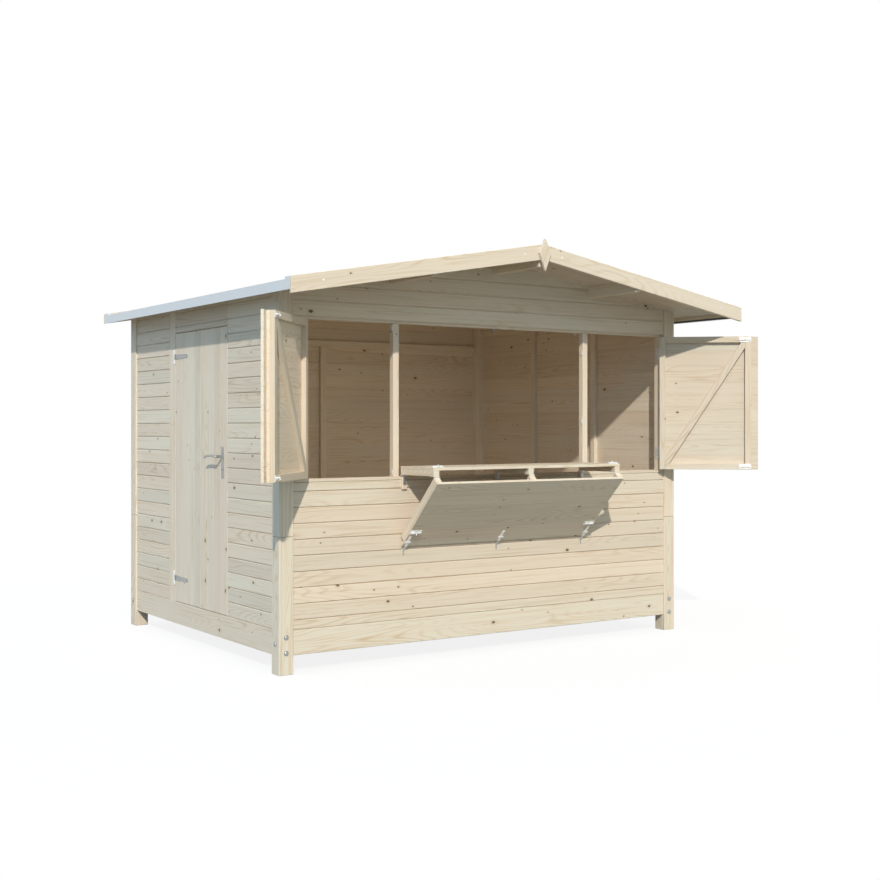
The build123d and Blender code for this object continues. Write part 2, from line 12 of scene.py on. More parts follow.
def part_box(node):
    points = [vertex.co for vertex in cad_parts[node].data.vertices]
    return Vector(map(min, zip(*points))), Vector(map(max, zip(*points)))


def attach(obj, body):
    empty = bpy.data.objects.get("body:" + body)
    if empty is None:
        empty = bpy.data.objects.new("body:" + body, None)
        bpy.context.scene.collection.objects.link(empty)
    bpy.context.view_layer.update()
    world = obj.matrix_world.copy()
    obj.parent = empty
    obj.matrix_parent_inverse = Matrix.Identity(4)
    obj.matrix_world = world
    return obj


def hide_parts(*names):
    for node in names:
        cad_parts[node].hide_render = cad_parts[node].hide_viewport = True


bl_info = {
    "name": "Wooden market stall",
    "version": (1, 0, 0),
    "blender": (4, 5, 0),
    "location": "3D View > Sidebar > Stall",
    "description": "Dresses a market stall with boards, timber and fittings, and sets up a plain stage",
    "category": "Object",
}

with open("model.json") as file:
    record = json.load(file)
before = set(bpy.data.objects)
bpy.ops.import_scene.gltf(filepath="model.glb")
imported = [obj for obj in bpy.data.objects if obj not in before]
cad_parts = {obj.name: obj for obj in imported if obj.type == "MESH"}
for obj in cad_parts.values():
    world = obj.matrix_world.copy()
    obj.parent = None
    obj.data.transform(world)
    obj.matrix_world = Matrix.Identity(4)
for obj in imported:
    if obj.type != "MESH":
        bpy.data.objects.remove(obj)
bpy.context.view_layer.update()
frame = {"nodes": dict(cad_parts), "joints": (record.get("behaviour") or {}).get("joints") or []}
joints = {joint["name"]: joint for joint in frame["joints"]}

X = Vector((1.0, 0.0, 0.0))
Y = Vector((0.0, 1.0, 0.0))
Z = Vector((0.0, 0.0, 1.0))
WELD = 1e-5                  # points of the frame closer than this are one point
FLAT = math.radians(0.5)     # faces that turn less than this are one flat face
ROOF_SLOPE = math.tan(math.radians(9.9))
SCREW = 0.0042               # radius of a common screw head
PLATE = 0.0022               # thickness of a common hinge plate
THIN_PLATE = 0.0018          # of the plates that leave room for a leaf or a bolt
CORNER = 0.003               # radius of a plate's corners
CREASE = math.radians(32.0)  # metal that turns more than this has a sharp edge
BOLT_SETBACK = 0.0405        # middle of a bolt from the edge that it shoots over
BOLT_ROW = 0.022             # middle of a bolt from the edge that it lies along
FLOOR_RADIUS = 34.0
GLOW_RADIUS = 0.45           # size of the soft light inside

# Corners of the building, from the frame
left_face, front_face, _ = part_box("post_front_left")[0]
right_face, back_face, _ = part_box("post_back_right")[1]
middle_x = (left_face + right_face) / 2
middle_y = (front_face + back_face) / 2
wall_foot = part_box("skirting_boards")[1].z
sill_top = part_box("sill")[1].z
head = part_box("mullions")[1].z


# ---- Sizes and colours that a user may change ----
def length_property(name, description, default):
    return FloatProperty(name=name, description=description, default=default, unit="LENGTH")


def colour_property(name, description, default):
    return FloatVectorProperty(name=name, description=description, default=default, subtype="COLOR")


class StallSizes(PropertyGroup):
    """Sizes of the boards and timber."""

    wall_pitch: length_property(
        "Wall board", "Height that one board of the front, the back and the gables covers", 0.090)
    side_pitch: length_property("Side wall board", "Height that one board of a side wall covers", 0.0891)
    front_first: length_property(
        "First front board", "Height of the cut board at the foot of the front wall", 0.055)
    fine_joint: length_property(
        "Fine joint", "Joint and chamfer of the boards of the door and the leaves", 0.0007)
    door_casing: length_property(
        "Door casing", "Width of each of the two upright boards behind the door hinges", 0.049)
    door_pitch: length_property("Door board", "Width of one door board", 0.0995)
    shutter_pitch: length_property(
        "Shutter board", "Width of one board of a shutter or a hatch leaf", 0.0995)
    roof_pitch_width: length_property("Roof board", "Width of one roof or floor board", 0.0965)
    joint: length_property("Board joint", "Open joint between two boards", 0.0034)
    chamfer: length_property("Board chamfer", "Chamfer along the edges of a board", 0.003)
    easing: length_property("Eased edge", "Easing on the edges of the timber", 0.0022)
    corner_board: length_property("Corner board", "Thickness of the boards that case a corner post", 0.019)
    splice: length_property("Post splice", "Height of the joint in the corner boards", 0.77)


class StallColours(PropertyGroup):
    """Colours of the finishes."""

    spruce_pale: colour_property(
        "Pale spruce", "Early wood between the growth rings", (0.775, 0.706, 0.592))
    spruce_honey: colour_property("Honey spruce", "Late wood and warm streaks", (0.63, 0.49, 0.335))
    spruce_rose: colour_property(
        "Rosy spruce", "Boards cut nearer the heart of the log", (0.79, 0.66, 0.535))
    knot: colour_property("Knot", "Heart of a knot", (0.13, 0.08, 0.05))
    zinc: colour_property("Zinc", "Zinc plated fittings", (0.89, 0.885, 0.87))
    eave_metal: colour_property("Eave metal", "Coated metal along the eaves", (0.58, 0.63, 0.68))
    felt: colour_property("Roofing felt", "Mineral face of the roofing felt", (0.085, 0.09, 0.095))
    floor: colour_property("Floor", "Pale studio floor", (0.95, 0.95, 0.95))


class StallStage(PropertyGroup):
    """Camera and light."""

    camera_place: FloatVectorProperty(
        name="Camera", description="Place of the camera", subtype="TRANSLATION",
        default=(-3.313, -6.513, 1.393))
    camera_turn: FloatProperty(
        name="Camera turn", description="How far the level camera is turned to the right",
        default=math.radians(33.88), subtype="ANGLE")
    camera_lens: FloatProperty(
        name="Lens", description="Focal length on a 36 mm sensor", default=53.08, unit="CAMERA")
    camera_shift: FloatProperty(
        name="Shift", description="Upright shift of the lens", default=-0.017)
    sun_travel: FloatVectorProperty(
        name="Sun", description="Direction in which the sunlight travels", subtype="XYZ",
        default=(0.625, 1.0, -0.772))
    sun_strength: FloatProperty(
        name="Sun strength", description="Strength of the sun lamp", default=2.78)
    sun_colour: colour_property("Sun colour", "Colour of the sun lamp", (1.0, 0.94, 0.84))
    sun_spread: FloatProperty(
        name="Sun spread", description="Width of the sun's disc", default=math.radians(1.2), subtype="ANGLE")
    sky_colour: colour_property("Sky", "Soft light from all round", (0.585, 0.635, 0.59))
    left_sky_colour: colour_property(
        "Sky on the left", "Cooler soft light from the left", (0.46, 0.67, 0.87))
    inside_strength: FloatProperty(
        name="Inside light", description="Power of the soft light inside the stall",
        default=3.5, unit="POWER")
    inside_colour: colour_property(
        "Inside light colour", "Colour of the soft light inside the stall", (1.0, 0.85, 0.63))


# ---- Shader maths ----
def arithmetic(operation):
    """The method for an operator, and the one for its reflected form."""
    return (lambda self, other: self.math(operation, self, other),
            lambda self, other: self.math(operation, other, self))


class Signal:
    """One output of a node. Arithmetic on it adds Math nodes, so that shader maths reads as Python."""

    def __init__(self, graph, socket):
        self.graph = graph
        self.socket = socket

    def other(self, output):
        """Another output of the same node."""
        return Signal(self.graph, self.socket.node.outputs[output])

    def math(self, operation, *terms):
        return self.graph.node("ShaderNodeMath", {"operation": operation}, dict(enumerate(terms)))

    __add__, __radd__ = arithmetic("ADD")
    __sub__, __rsub__ = arithmetic("SUBTRACT")
    __mul__, __rmul__ = arithmetic("MULTIPLY")
    __truediv__, __rtruediv__ = arithmetic("DIVIDE")
    __pow__, __rpow__ = arithmetic("POWER")


class Graph:
    """The node tree of a material or of the world."""

    def __init__(self, owner):
        owner.use_nodes = True
        self.tree = owner.node_tree
        self.tree.nodes.clear()

    def node(self, kind, settings=None, inputs=None, output=0):
        """A node of that kind: its settings first, then the values or links of its sockets."""
        made = self.tree.nodes.new(kind)
        for key, value in (settings or {}).items():
            setattr(made, key, value)
        for key, value in (inputs or {}).items():
            if isinstance(value, Signal):
                self.tree.links.new(value.socket, made.inputs[key])
            else:
                made.inputs[key].default_value = value
        return Signal(self, made.outputs[output]) if made.outputs else None

    def blend(self, factor, a, b, mode="MIX"):
        """Two colours mixed."""
        inputs = {0: factor, 6: a, 7: b}
        for key in (6, 7):
            if not isinstance(inputs[key], Signal):
                inputs[key] = (*inputs[key], 1.0)
        return self.node("ShaderNodeMix", {"data_type": "RGBA", "blend_type": mode}, inputs, 2)

    def stretched(self, vector, scale):
        return self.node("ShaderNodeVectorMath", {"operation": "MULTIPLY"}, {0: vector, 1: scale})

    def ease(self, value, start, end, low=0.0, high=1.0):
        """A soft step from low to high as the value goes from start to end."""
        return self.node("ShaderNodeMapRange", {"interpolation_type": "SMOOTHSTEP"},
                         {0: value, 1: start, 2: end, 3: low, 4: high})

    def noise(self, vector, scale=1.0, detail=2.0, roughness=0.5):
        return self.node("ShaderNodeTexNoise", None,
                         {"Vector": vector, "Scale": scale, "Detail": detail, "Roughness": roughness})

    def place(self):
        """Where a point lies on its own piece."""
        return self.node("ShaderNodeTexCoord", None, None, "Object")

    def surface(self, sockets, height=None, depth=0.0005, strength=0.5):
        """A Principled surface, with a bump where a height is given, joined to the output."""
        if height is not None:
            bump = {"Strength": strength, "Distance": depth, "Height": height}
            sockets = {**sockets, "Normal": self.node("ShaderNodeBump", None, bump)}
        shader = self.node("ShaderNodeBsdfPrincipled", None, sockets)
        self.node("ShaderNodeOutputMaterial", None, {"Surface": shader})


# ---- Finishes ----
def colours():
    return bpy.context.scene.stall_colours


def spruce(graph, hue, knots):
    """Planed softwood. Each board has its own stretch of grain, its own tone and its own knots; on some
    pieces the tone is set lighter or darker as painted light and painted shade.
    """
    own = colours()
    grain = graph.node("ShaderNodeAttribute", {"attribute_name": "grain"}, None, "Vector")
    lot = graph.node("ShaderNodeSeparateXYZ", None,
                     {0: graph.node("ShaderNodeAttribute", {"attribute_name": "lot"}, None, "Vector")})
    tone, warmth = lot, lot.other("Y")

    def figure(stretch, detail, roughness=0.5):
        return graph.noise(graph.stretched(grain, stretch), 1.0, detail, roughness)

    spots = graph.node("ShaderNodeTexVoronoi", {"voronoi_dimensions": "2D", "feature": "F1"},
                       {"Vector": graph.stretched(grain, (4.6, 7.0, 0.0)), "Scale": 1.0, "Randomness": 1.0},
                       "Distance")
    cell = graph.node("ShaderNodeSeparateColor", None, {0: spots.other("Color")})
    present = cell.math("GREATER_THAN", cell, 1.0 - knots)
    radius = 0.022 + cell.other("Green") ** 3.5 * 0.040
    ragged = figure((90.0, 90.0, 40.0), 2.0)
    reach = spots / radius + (ragged - 0.5) * 0.5
    heart = graph.ease(reach, 1.15, 0.8) * present
    halo = graph.ease(reach, 3.6, 0.9) * present

    drift = figure((0.55, 6.5, 5.0), 1.5, 0.4)
    rings = drift * 34.0 + halo * 0.8
    angle = rings * math.tau
    late = (angle.math("SINE", angle) * 0.5 + 0.5) ** 4.0
    patch = graph.ease(figure((0.9, 7.0, 5.0), 2.0), 0.35, 0.75)
    streaks = figure((1.6, 95.0, 60.0), 3.0, 0.6)
    fibre = figure((14.0, 900.0, 500.0), 1.0)

    pale = graph.blend(warmth * 0.8, own.spruce_pale, own.spruce_rose)
    depth = late * patch * 0.72 + graph.ease(streaks, 0.42, 0.82) * 0.34
    depth = depth + graph.ease(streaks, 0.56, 0.63) * 0.17 + fibre * 0.05
    wood = graph.blend(depth, pale, own.spruce_honey)
    # Brightness from the tone: random on most pieces, painted light and painted shade where a piece's tone
    # range is shifted lighter or darker.
    level = tone * 0.12 + 0.925 * hue
    shade = graph.node("ShaderNodeCombineXYZ", None, {0: level, 1: level, 2: level})
    wood = graph.blend(1.0, wood, shade, "MULTIPLY")
    ringed = graph.blend(halo * 0.42, wood, own.spruce_honey)
    colour = graph.blend(heart * 0.93, ringed, own.knot)
    graph.surface({"Base Color": colour, "Roughness": 0.52 + streaks * 0.2 - heart * 0.1,
                   "Specular IOR Level": 0.28},
                  late * patch * 0.5 + fibre * 0.4 + streaks * 0.6 - heart * 0.4, 0.0006, 0.45)


def zinc(graph):
    """Bright zinc plate with the faint clouding that plating has."""
    place = graph.place()
    cloud = graph.noise(place, 55.0, 3.0)
    grit = graph.noise(place, 900.0, 2.0)
    dull = tuple(0.82 * part for part in colours().zinc)
    graph.surface({"Base Color": graph.blend(graph.ease(cloud, 0.35, 0.7), colours().zinc, dull),
                   "Metallic": 0.45, "Roughness": 0.32 + cloud * 0.2 + grit * 0.06},
                  grit, 0.0001, 0.3)


def dark_steel_and_shade(graph):
    """Galvanised steel, duller and darker than the zinc plate, with faint clouding. The darker tone is partly
    painted shade, for fittings that sit in shade such as the door straps.
    """
    place = graph.place()
    cloud = graph.noise(place, 240.0, 3.0)
    graph.surface({"Base Color": graph.blend(cloud, (0.27, 0.28, 0.28), (0.46, 0.47, 0.47)),
                   "Metallic": 0.8, "Roughness": 0.30 + cloud * 0.15}, cloud, 0.0002, 0.4)


def eave_metal(graph):
    """Coated sheet metal, satin, with a little dust."""
    place = graph.place()
    cloud = graph.noise(graph.stretched(place, (1.0, 0.4, 3.0)), 6.0, 3.0)
    dusty = tuple(0.90 * part + 0.03 for part in colours().eave_metal)
    graph.surface({"Base Color": graph.blend(graph.ease(cloud, 0.3, 0.75), colours().eave_metal, dusty),
                   "Roughness": 0.42 + cloud * 0.18},
                  graph.noise(place, 160.0, 2.0), 0.0002, 0.25)


def felt(graph):
    """Bitumen felt with a face of crushed mineral."""
    place = graph.place()
    grit = graph.node("ShaderNodeTexVoronoi", {"feature": "F1"}, {"Vector": place, "Scale": 420.0},
                      "Distance")
    chip = graph.node("ShaderNodeSeparateColor", None, {0: grit.other("Color")})
    cloud = graph.noise(place, 3.2, 4.0)
    pale = tuple(2.6 * part for part in colours().felt)
    mixed = graph.ease(chip, 0.45, 1.0) * 0.55 + graph.ease(cloud, 0.35, 0.8) * 0.3
    graph.surface({"Base Color": graph.blend(mixed, colours().felt, pale), "Roughness": 0.86 + chip * 0.1},
                  1.0 - grit * 1.4 + cloud * 0.6, 0.0012, 0.7)


def keyhole_shade(graph):
    """Painted shade: a near-black finish that stands for the shade inside a keyhole."""
    place = graph.place()
    shade = graph.noise(place, 300.0, 1.0)
    colour = graph.blend(shade, (0.015, 0.015, 0.015), (0.04, 0.04, 0.04))
    graph.surface({"Base Color": colour, "Roughness": 0.6})


FINISHES = {
    "cladding": (lambda graph: spruce(graph, hue=1.0, knots=0.36), "spruce_boards"),
    "timber": (lambda graph: spruce(graph, hue=1.02, knots=0.16), "spruce_timber"),
    "zinc": (zinc, "zinc_fittings"),
    # darker steel: partly the metal's own tone and partly painted shade
    "dark_steel_and_shade": (dark_steel_and_shade, "zinc_fittings"),
    "eave_metal": (eave_metal, "eave_metal"),
    "felt": (felt, "roof_felt"),
    "keyhole_shade": (keyhole_shade, "zinc_fittings"),
}


def finish_of(name):
    """The material of that finish, made the first time that it is asked for."""
    material = bpy.data.materials.get(name)
    if material is None:
        material = bpy.data.materials.new(name)
        FINISHES[name][0](Graph(material))
    return material


# ---- Meshes ----
def placed(name, data):
    """A new object in the scene."""
    item = bpy.data.objects.new(name, data)
    bpy.context.scene.collection.objects.link(item)
    return item


def place_piece(name, mesh, finish, body, nodes):
    """Puts a finished mesh into the scene, on its body, in place of the frame nodes that it stands for."""
    piece = placed(name, mesh)
    mesh.materials.append(finish_of(finish))
    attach(piece, body)
    if nodes:
        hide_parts(*nodes)


def solids_of(node):
    """The solids of a frame node, each as a closed mesh with flat faces, ordered by where they are."""
    whole = bmesh.new()
    whole.from_mesh(frame["nodes"][node].data)
    bmesh.ops.remove_doubles(whole, verts=whole.verts, dist=WELD)
    bmesh.ops.dissolve_limit(whole, angle_limit=FLAT, verts=whole.verts, edges=whole.edges)
    whole.faces.index_update()
    seen = set()
    solids = []
    for first in whole.faces:
        if first.index in seen:
            continue
        seen.add(first.index)
        group = [first]
        for face in group:
            for edge in face.edges:
                for near in edge.link_faces:
                    if near.index not in seen:
                        seen.add(near.index)
                        group.append(near)
        solid = bmesh.new()
        copies = {}
        for face in group:
            for vert in face.verts:
                if vert.index not in copies:
                    copies[vert.index] = solid.verts.new(vert.co)
            solid.faces.new([copies[vert.index] for vert in face.verts])
        bmesh.ops.recalc_face_normals(solid, faces=solid.faces)
        solids.append(solid)
    whole.free()
    return sorted(solids, key=lambda solid: tuple(round(part, 4) for part in centre_of(solid)))


def centre_of(solid):
    return sum((vert.co for vert in solid.verts), Vector((0.0, 0.0, 0.0))) / len(solid.verts)


def axes_of(solid):
    """Directions along the longest edge of a solid, along its next longest at right angles, and out."""
    runs = sorted((edge.verts[1].co - edge.verts[0].co for edge in solid.edges),
                  key=lambda run: -round(run.length, 5))
    along = runs[0].normalized()
    across = next(run for run in runs if abs(run.normalized().dot(along)) < 0.25).normalized()
    out = along.cross(across).normalized()
    across = out.cross(along)
    return [axis if sum(axis) > 0 else -axis for axis in (along, across, out)]


def upward(slab):
    """Direction out of the upper face of a sloping slab."""
    return max((face.normal.copy() for face in slab.faces), key=lambda normal: normal.z)


def span(solid, axis):
    """Lowest and highest reach of a solid along an axis."""
    reach = [vert.co.dot(axis) for vert in solid.verts]
    return min(reach), max(reach)


def corners_of(solid):
    """Lowest and highest corner of the box round a solid."""
    return [Vector(corner) for corner in zip(*(span(solid, axis) for axis in (X, Y, Z)))]


def meshed(name, shape):
    """A mesh of a shape that is built, and lets go of the shape."""
    mesh = bpy.data.meshes.new(name)
    shape.to_mesh(mesh)
    shape.free()
    return mesh


def merge(shape, part):
    """Adds a part to a shape that is being built."""
    holder = meshed("part", part)
    shape.from_mesh(holder)
    bpy.data.meshes.remove(holder)


def cut(solid, point, outward):
    """Cuts away what lies outside a plane, and closes the cut."""
    geometry = solid.verts[:] + solid.edges[:] + solid.faces[:]
    made = bmesh.ops.bisect_plane(solid, geom=geometry, dist=1e-6, plane_co=point, plane_no=outward,
                                  clear_outer=True)
    edges = [item for item in made["geom_cut"] if isinstance(item, bmesh.types.BMEdge)]
    if edges:
        bmesh.ops.holes_fill(solid, edges=edges, sides=0)
    return solid


def between(solid, axis, low, high):
    """The slice of a solid between two heights along an axis."""
    return cut(cut(solid.copy(), axis * low, -axis), axis * high, axis)


def eased(solid, width, edges=None):
    """The solid with its edges eased, or only those that are given."""
    bmesh.ops.bevel(solid, geom=edges or solid.edges[:], offset=width, offset_type="OFFSET", segments=1,
                    profile=0.5, affect="EDGES", clamp_overlap=True)
    return solid


class Lumber:
    """Boards gathered into one mesh. Each board keeps its own stretch of grain and its own tone, drawn at
    random from the piece's tone range; on some pieces that range is shifted lighter or darker as painted
    light and painted shade.
    """

    def __init__(self, name, tone=(0.0, 1.0)):
        self.name = name
        self.tone = tone
        self.draw = random.Random(name)
        self.points = []
        self.faces = []
        self.grain = []
        self.lot = []

    def add(self, board, axes):
        """Takes a board in. Its axes are along the grain, across it and through the board."""
        start = len(self.points)
        shift = [self.draw.uniform(0.0, 60.0) for _ in axes]
        lot = [self.draw.uniform(*self.tone), self.draw.random(), self.draw.random()]
        board.verts.index_update()
        for vert in board.verts:
            self.points.append(tuple(vert.co))
            self.grain.extend(vert.co.dot(axis) + offset for axis, offset in zip(axes, shift))
            self.lot.extend(lot)
        self.faces += [[start + vert.index for vert in face.verts] for face in board.faces]
        board.free()

    def finish(self, finish, body="stall", nodes=()):
        mesh = bpy.data.meshes.new(self.name)
        mesh.from_pydata(self.points, [], self.faces)
        for name, values in (("grain", self.grain), ("lot", self.lot)):
            mesh.attributes.new(name, "FLOAT_VECTOR", "POINT").data.foreach_set("vector", values)
        mesh.update()
        place_piece(self.name, mesh, finish, body, nodes)


def board_profile(low, high, thickness, joint, chamfer, tongue, groove):
    """Section of a tongued board, as heights and depths from its face. Behind the tongue the joint is
    tight."""
    gap = joint / 2
    tight = min(gap, 0.0003)
    near, far = thickness * 0.37, thickness * 0.63
    slack = thickness * 0.03
    lip = thickness * 0.3
    top, bottom = high - gap, low + gap
    outline = [(bottom + chamfer, 0.0), (top - chamfer, 0.0), (top, chamfer)]
    if tongue:
        outline += [(top, near), (top + lip, near), (top + lip, far)]
    top, foot = high - tight, low + tight
    outline += [(top, far), (top, thickness - tight), (top - tight, thickness), (foot + tight, thickness),
                (foot, thickness - tight)]
    if groove:
        reach = bottom + lip + slack
        outline += [(foot, far + slack), (reach, far + slack), (reach, near - slack)]
    else:
        outline.append((foot, near - slack))
    outline.append((bottom, near - slack))
    outline.append((bottom, chamfer))
    return outline


def extruded(outline, origin, side, inward, run, length):
    """An outline of sideways and inward distances, carried along a direction."""
    solid = bmesh.new()
    ends = [[solid.verts.new(origin + side * s + inward * d + run * reach) for s, d in outline]
            for reach in (0.0, length)]
    count = len(outline)
    solid.faces.new(ends[0])
    solid.faces.new(reversed(ends[1]))
    for i in range(count):
        j = (i + 1) % count
        solid.faces.new((ends[0][j], ends[0][i], ends[1][i], ends[1][j]))
    bmesh.ops.recalc_face_normals(solid, faces=solid.faces)
    return solid


def levels(low, high, pitch, origin):
    """The two ends of a wall, with the joint lines between them, counted from an origin."""
    least = pitch * 0.12
    line = origin + math.ceil((low + least - origin) / pitch) * pitch
    lines = [low]
    while line < high - least:
        lines.append(line)
        line += pitch
    return lines + [high]


def planked(lumber, solid, run, stack, outward, lines, joint=None, chamfer=None):
    """Fills the space of a slab with boards that lie along run and are stacked between the joint lines.
    Where the slab is cut off at a slant, so are the boards."""
    sizes = bpy.context.scene.stall_sizes
    r0, r1 = span(solid, run)
    f0, f1 = span(solid, outward)
    clips = [(face.calc_center_median(), face.normal.copy()) for face in solid.faces
             if max(abs(face.normal.dot(axis)) for axis in (run, stack, outward)) < 0.9999]
    for low, high in zip(lines, lines[1:]):
        outline = board_profile(low, high, f1 - f0, joint or sizes.joint, chamfer or sizes.chamfer,
                                high != lines[-1], low != lines[0])
        board = extruded(outline, run * r0 + outward * f1, stack, -outward, run, r1 - r0)
        for point, normal in clips:
            cut(board, point, normal)
        if board.faces:
            lumber.add(board, (run, stack, outward))
        else:
            board.free()


def timber(node, body="stall", tone=(0.2, 1.0), easing=None):
    """Timber that keeps the frame's shape, with eased edges and grain along each piece."""
    lumber = Lumber(node + "_timber", tone)
    for solid in solids_of(node):
        axes = axes_of(solid)
        lumber.add(eased(solid, easing or bpy.context.scene.stall_sizes.easing), axes)
    lumber.finish("timber", body, (node,))


# ---- Metalwork ----
def seat(origin, out, along):
    """A place on a surface: z out of it, x along the fitting."""
    out = out.normalized()
    along = (along - out * along.dot(out)).normalized()
    side = out.cross(along)
    place = Matrix((along, side, out)).transposed().to_4x4()
    place.translation = origin
    return place


def raised(place, height):
    """The same place, further out of its surface."""
    return place @ Matrix.Translation((0.0, 0.0, height))


def four(x, y):
    """Spots at the four corners of a rectangle round the middle."""
    return [(sx * x, sy * y) for sx in (-1, 1) for sy in (-1, 1)]


def rounded(length, width, corner, steps=4):
    """A rectangle with rounded corners, centred."""
    outline = []
    for k, (sx, sy) in enumerate(((1, 1), (-1, 1), (-1, -1), (1, -1))):
        cx, cy = sx * (length / 2 - corner), sy * (width / 2 - corner)
        for i in range(steps + 1):
            angle = math.tau / 4 * (k + i / steps)
            outline.append((cx + corner * math.cos(angle), cy + corner * math.sin(angle)))
    return outline


class Ironwork:
    """Metal fittings gathered into one mesh."""

    def __init__(self, name):
        self.name = name
        self.mesh = bmesh.new()

    def take(self, part):
        """Takes in a finished part."""
        bmesh.ops.recalc_face_normals(part, faces=part.faces)
        merge(self.mesh, part)

    def flat(self, place, outline, thickness, chamfer=0.0005):
        """A plate of that outline, rising from its seat."""
        part = extruded(outline, Vector(), X, Y, Z, thickness)
        top = [edge for edge in part.edges if all(abs(vert.co.z - thickness) < 1e-7 for vert in edge.verts)]
        eased(part, chamfer, top)
        part.transform(place)
        self.take(part)

    def turned(self, place, profile, sides=24):
        """A turned part: radii and heights from its seat, closed on its axis at both ends."""
        part = bmesh.new()
        rings = []
        for radius, height in profile:
            if radius < 1e-7:
                rings.append([part.verts.new((0.0, 0.0, height))])
            else:
                rings.append([part.verts.new((radius * math.cos(math.tau * i / sides),
                                              radius * math.sin(math.tau * i / sides), height))
                              for i in range(sides)])
        for low, high in zip(rings, rings[1:]):
            for i in range(sides):
                j = (i + 1) % sides
                corners = [low[i % len(low)], low[j % len(low)], high[j % len(high)], high[i % len(high)]]
                corners = list(dict.fromkeys(corners))
                if len(corners) > 2:
                    part.faces.new(corners)
        part.transform(place)
        self.take(part)

    def rod(self, start, end, radius, sides=20):
        """A round bar with softened ends."""
        run = end - start
        other = X if abs(run.normalized().x) < 0.9 else Y
        soft = min(radius * 0.25, run.length * 0.2)
        profile = [(0.0, 0.0), (radius - soft, 0.0), (radius, soft), (radius, run.length - soft),
                   (radius - soft, run.length), (0.0, run.length)]
        self.turned(seat(start, run, other), profile, sides)

    def dome(self, place, radius, height, sides=16):
        """A round head."""
        steps = 5
        profile = [(0.0, 0.0)] + [(radius * math.cos(math.tau / 4 * i / steps),
                                   height * math.sin(math.tau / 4 * i / steps)) for i in range(steps)]
        self.turned(place, profile + [(0.0, height)], sides)

    def bent(self, points, radius, sides=12):
        """Round wire bent through points on a smooth line."""
        line = smooth(points)
        part = bmesh.new()
        rings = []
        side = None
        for i, point in enumerate(line):
            run = (line[min(i + 1, len(line) - 1)] - line[max(i - 1, 0)]).normalized()
            if side is None:
                side = run.orthogonal().normalized()
            side = (side - run * side.dot(run)).normalized()
            other = run.cross(side)
            rings.append([part.verts.new(point + radius * (side * math.cos(math.tau * k / sides)
                                                           + other * math.sin(math.tau * k / sides)))
                          for k in range(sides)])
        for low, high in zip(rings, rings[1:]):
            for k in range(sides):
                j = (k + 1) % sides
                part.faces.new((low[k], low[j], high[j], high[k]))
        part.faces.new(reversed(rings[0]))
        part.faces.new(rings[-1])
        self.take(part)

    def screws(self, place, spots, radius=SCREW):
        """Round screw heads at spots on a plate."""
        for x, y in spots:
            self.dome(place @ Matrix.Translation((x, y, 0.0)), radius, radius * 0.42, 12)

    def plate(self, place, outline, thickness, spots, radius=SCREW, chamfer=0.0005):
        """A plate that is screwed on."""
        self.flat(place, outline, thickness, chamfer)
        self.screws(raised(place, thickness), spots, radius)

    def finish(self, finish="zinc", body="stall", nodes=()):
        mesh = meshed(self.name, self.mesh)
        for polygon in mesh.polygons:
            polygon.use_smooth = True
        mesh.set_sharp_from_angle(angle=CREASE)
        mesh.update()
        place_piece(self.name, mesh, finish, body, nodes)


def smooth(points):
    """Points on a smooth line through the given ones."""
    steps = 6
    ends = [points[0] * 2 - points[1]] + list(points) + [points[-1] * 2 - points[-2]]
    line = []
    for a, b, c, d in zip(ends, ends[1:], ends[2:], ends[3:]):
        for i in range(steps):
            t = i / steps
            line.append(0.5 * (b * 2 + (c - a) * t + (a * 2 - b * 5 + c * 4 - d) * t * t
                               + (b * 3 - a - c * 3 + d) * t ** 3))
    return line + [points[-1]]


# ---- Leaves ----
class Leaf:
    """A hinged leaf: the directions along it, away from its hinge and out of its boards, and its reach."""

    def __init__(self, boards, backing, joint):
        panel = solids_of(boards)[0]
        pin = Vector(joints[joint]["pos_m"])
        axes = axes_of(panel)
        turn = Vector(joints[joint]["axis"])
        self.along = next(axis for axis in axes if abs(axis.dot(turn)) > 0.9)
        across, out = [axis for axis in axes if axis is not self.along]
        if span(panel, across)[1] - span(panel, across)[0] < span(panel, out)[1] - span(panel, out)[0]:
            across, out = out, across
        toward = centre_of(panel) - pin
        self.free = across if across.dot(toward) > 0 else -across
        low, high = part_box(backing)
        behind = (low + high) / 2 - centre_of(panel)
        self.inner = out if out.dot(behind) > 0 else -out
        self.pin = pin
        self.panel = panel
        self.low, self.high = span(panel, self.along)
        self.hinge_edge, self.free_edge = span(panel, self.free)
        self.face = span(panel, self.inner)[0]
        reach = [vert.co.dot(self.inner) for solid in solids_of(backing) for vert in solid.verts]
        self.lining = max(reach)

    def point(self, along, free, inner):
        return self.along * along + self.free * free + self.inner * inner


def barrel_bolt(iron, place):
    """A barrel bolt: plate, round bar, two staples and a knob. Its x runs along the bar."""
    length, width, plate, bar = 0.080, 0.034, 0.002, 0.0045
    iron.flat(place, rounded(length, width, CORNER), plate)
    centre = plate + bar
    ends = [place @ Vector((x, 0.0, centre)) for x in (-length / 2 + 0.003, length / 2 - 0.003)]
    iron.rod(ends[0], ends[1], bar)
    for x in (-length * 0.24, length * 0.27):
        for dx in (-0.004, 0.004):
            arch = [Vector((x + dx, (bar + 0.0022) * math.cos(a), plate * 0.6 + (bar + 0.0042) * math.sin(a)))
                    for a in (0.0, 0.8, math.pi / 2, math.pi - 0.8, math.pi)]
            iron.bent([place @ point for point in arch], 0.0016, 8)
    knob = place @ Vector((0.0, width * 0.22, centre + 0.012))
    iron.rod(place @ Vector((0.0, 0.0, centre)), knob, 0.0032, 14)
    iron.screws(raised(place, plate), four(length / 2 - 0.007, width / 2 - 0.0065))


